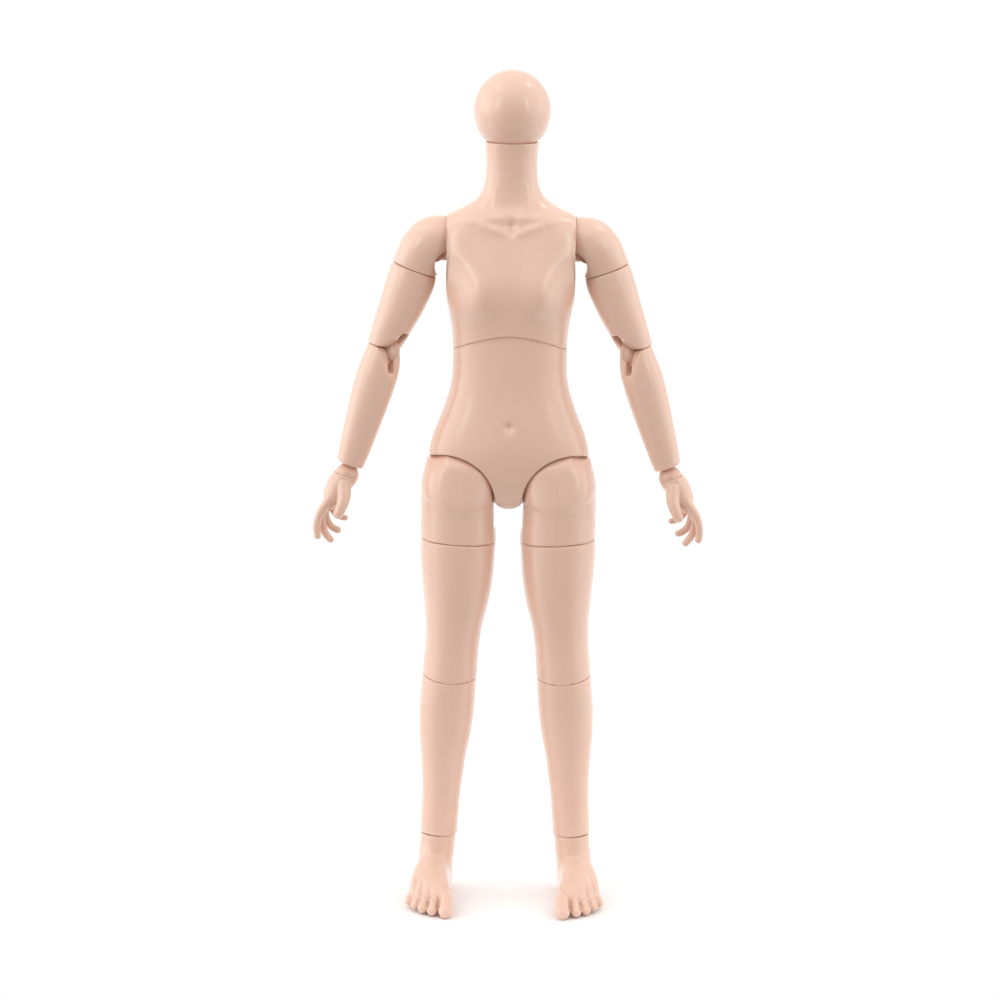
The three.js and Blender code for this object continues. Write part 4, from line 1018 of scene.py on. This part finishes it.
def area_light(name, place, target, size, power):
    data = bpy.data.lights.new(name, "AREA")
    data.shape = "RECTANGLE"
    data.size, data.size_y = size
    data.energy = power
    place_light(name, data, place, target)


def chest_spot():
    """A soft round pool of light on the chest, without a mirror image of the lamp."""
    data = bpy.data.lights.new("chest_spot", "SPOT")
    data.energy = 6.5
    data.spot_size = math.radians(4.8)
    data.spot_blend = 1
    data.shadow_soft_size = 0.04
    place_light("chest_spot", data, (0, -1.1, 0.85), (0, 0, 0.199)).visible_glossy = False


def studio_world():
    """A soft studio, bright far to the sides, above and behind, and a white backdrop to the camera."""
    made = bpy.data.worlds.new("studio")
    made.use_nodes = True
    nodes, links = made.node_tree.nodes, made.node_tree.links

    def math_node(operation, *values):
        node = nodes.new("ShaderNodeMath")
        node.operation = operation
        for slot, value in zip(node.inputs, values):
            if isinstance(value, (int, float)):
                slot.default_value = value
            else:
                links.new(value, slot)
        return node.outputs[0]

    def lobe(towards, power, strength):
        return math_node("MULTIPLY", math_node("POWER", towards, power), strength)

    place = nodes.new("ShaderNodeTexCoord")
    parts = nodes.new("ShaderNodeSeparateXYZ")
    links.new(place.outputs["Generated"], parts.inputs["Vector"])
    x, y, z = parts.outputs
    sides = lobe(math_node("ABSOLUTE", x), 1.5, 0.22)
    left = lobe(math_node("MAXIMUM", math_node("MULTIPLY", x, -1), 0), 6, 2)
    right = lobe(math_node("MAXIMUM", x, 0), 6, 1.35)
    above = lobe(math_node("MAXIMUM", z, 0), 1.5, 0.95)
    behind = lobe(math_node("MAXIMUM", y, 0), 6, 1.5)
    light = 0.33
    for part in (sides, left, right, above, behind):
        light = math_node("ADD", part, light)
    links.new(light, nodes["Background"].inputs["Strength"])
    nodes["Background"].inputs["Color"].default_value = (1, 0.985, 0.975, 1)
    plain = nodes.new("ShaderNodeBackground")
    plain.inputs["Color"].default_value = (1, 1, 1, 1)
    seen = nodes.new("ShaderNodeMixShader")
    links.new(nodes.new("ShaderNodeLightPath").outputs["Is Camera Ray"], seen.inputs[0])
    links.new(nodes["Background"].outputs[0], seen.inputs[1])
    links.new(plain.outputs[0], seen.inputs[2])
    links.new(seen.outputs[0], nodes["World Output"].inputs["Surface"])
    bpy.context.scene.world = made


def photo_camera():
    lens = bpy.data.cameras.new("camera")
    lens.lens = 137.2
    lens.sensor_width = 36
    lens.clip_start = 0.05
    lens.clip_end = 50
    lens.shift_x = -0.0084
    camera = bpy.data.objects.new("camera", lens)
    camera.location = PLACE.translation + Vector(CAMERA_PLACE)
    camera.rotation_euler = (math.radians(90 - CAMERA_DOWN), 0, 0)
    roll = Matrix.Rotation(math.radians(CAMERA_ROLL), 3, "Z")
    camera.rotation_euler = (camera.rotation_euler.to_matrix() @ roll).to_euler()
    bpy.context.scene.collection.objects.link(camera)
    bpy.context.scene.camera = camera


floor()
studio_world()
area_light("left_strip", (-1.1, -1.02, 0.7), CHEST_MIDDLE, (0.22, 1), 2.4)
area_light("right_strip", (1.1, -1.02, 0.7), CHEST_MIDDLE, (0.16, 0.9), 1.9)
area_light("high_front", (-0.25, -0.7, 1.25), CHEST_MIDDLE, (0.7, 0.5), 0.55)
area_light("high_right", (0.62, 0.15, 1.1), HEAD_MIDDLE, (0.19, 0.19), 0.6)
area_light("high_left", (-0.6, -0.13, 1.1), HEAD_MIDDLE, (0.25, 0.25), 0.5)
chest_spot()
photo_camera()
bpy.context.scene.view_settings.view_transform = "Standard"
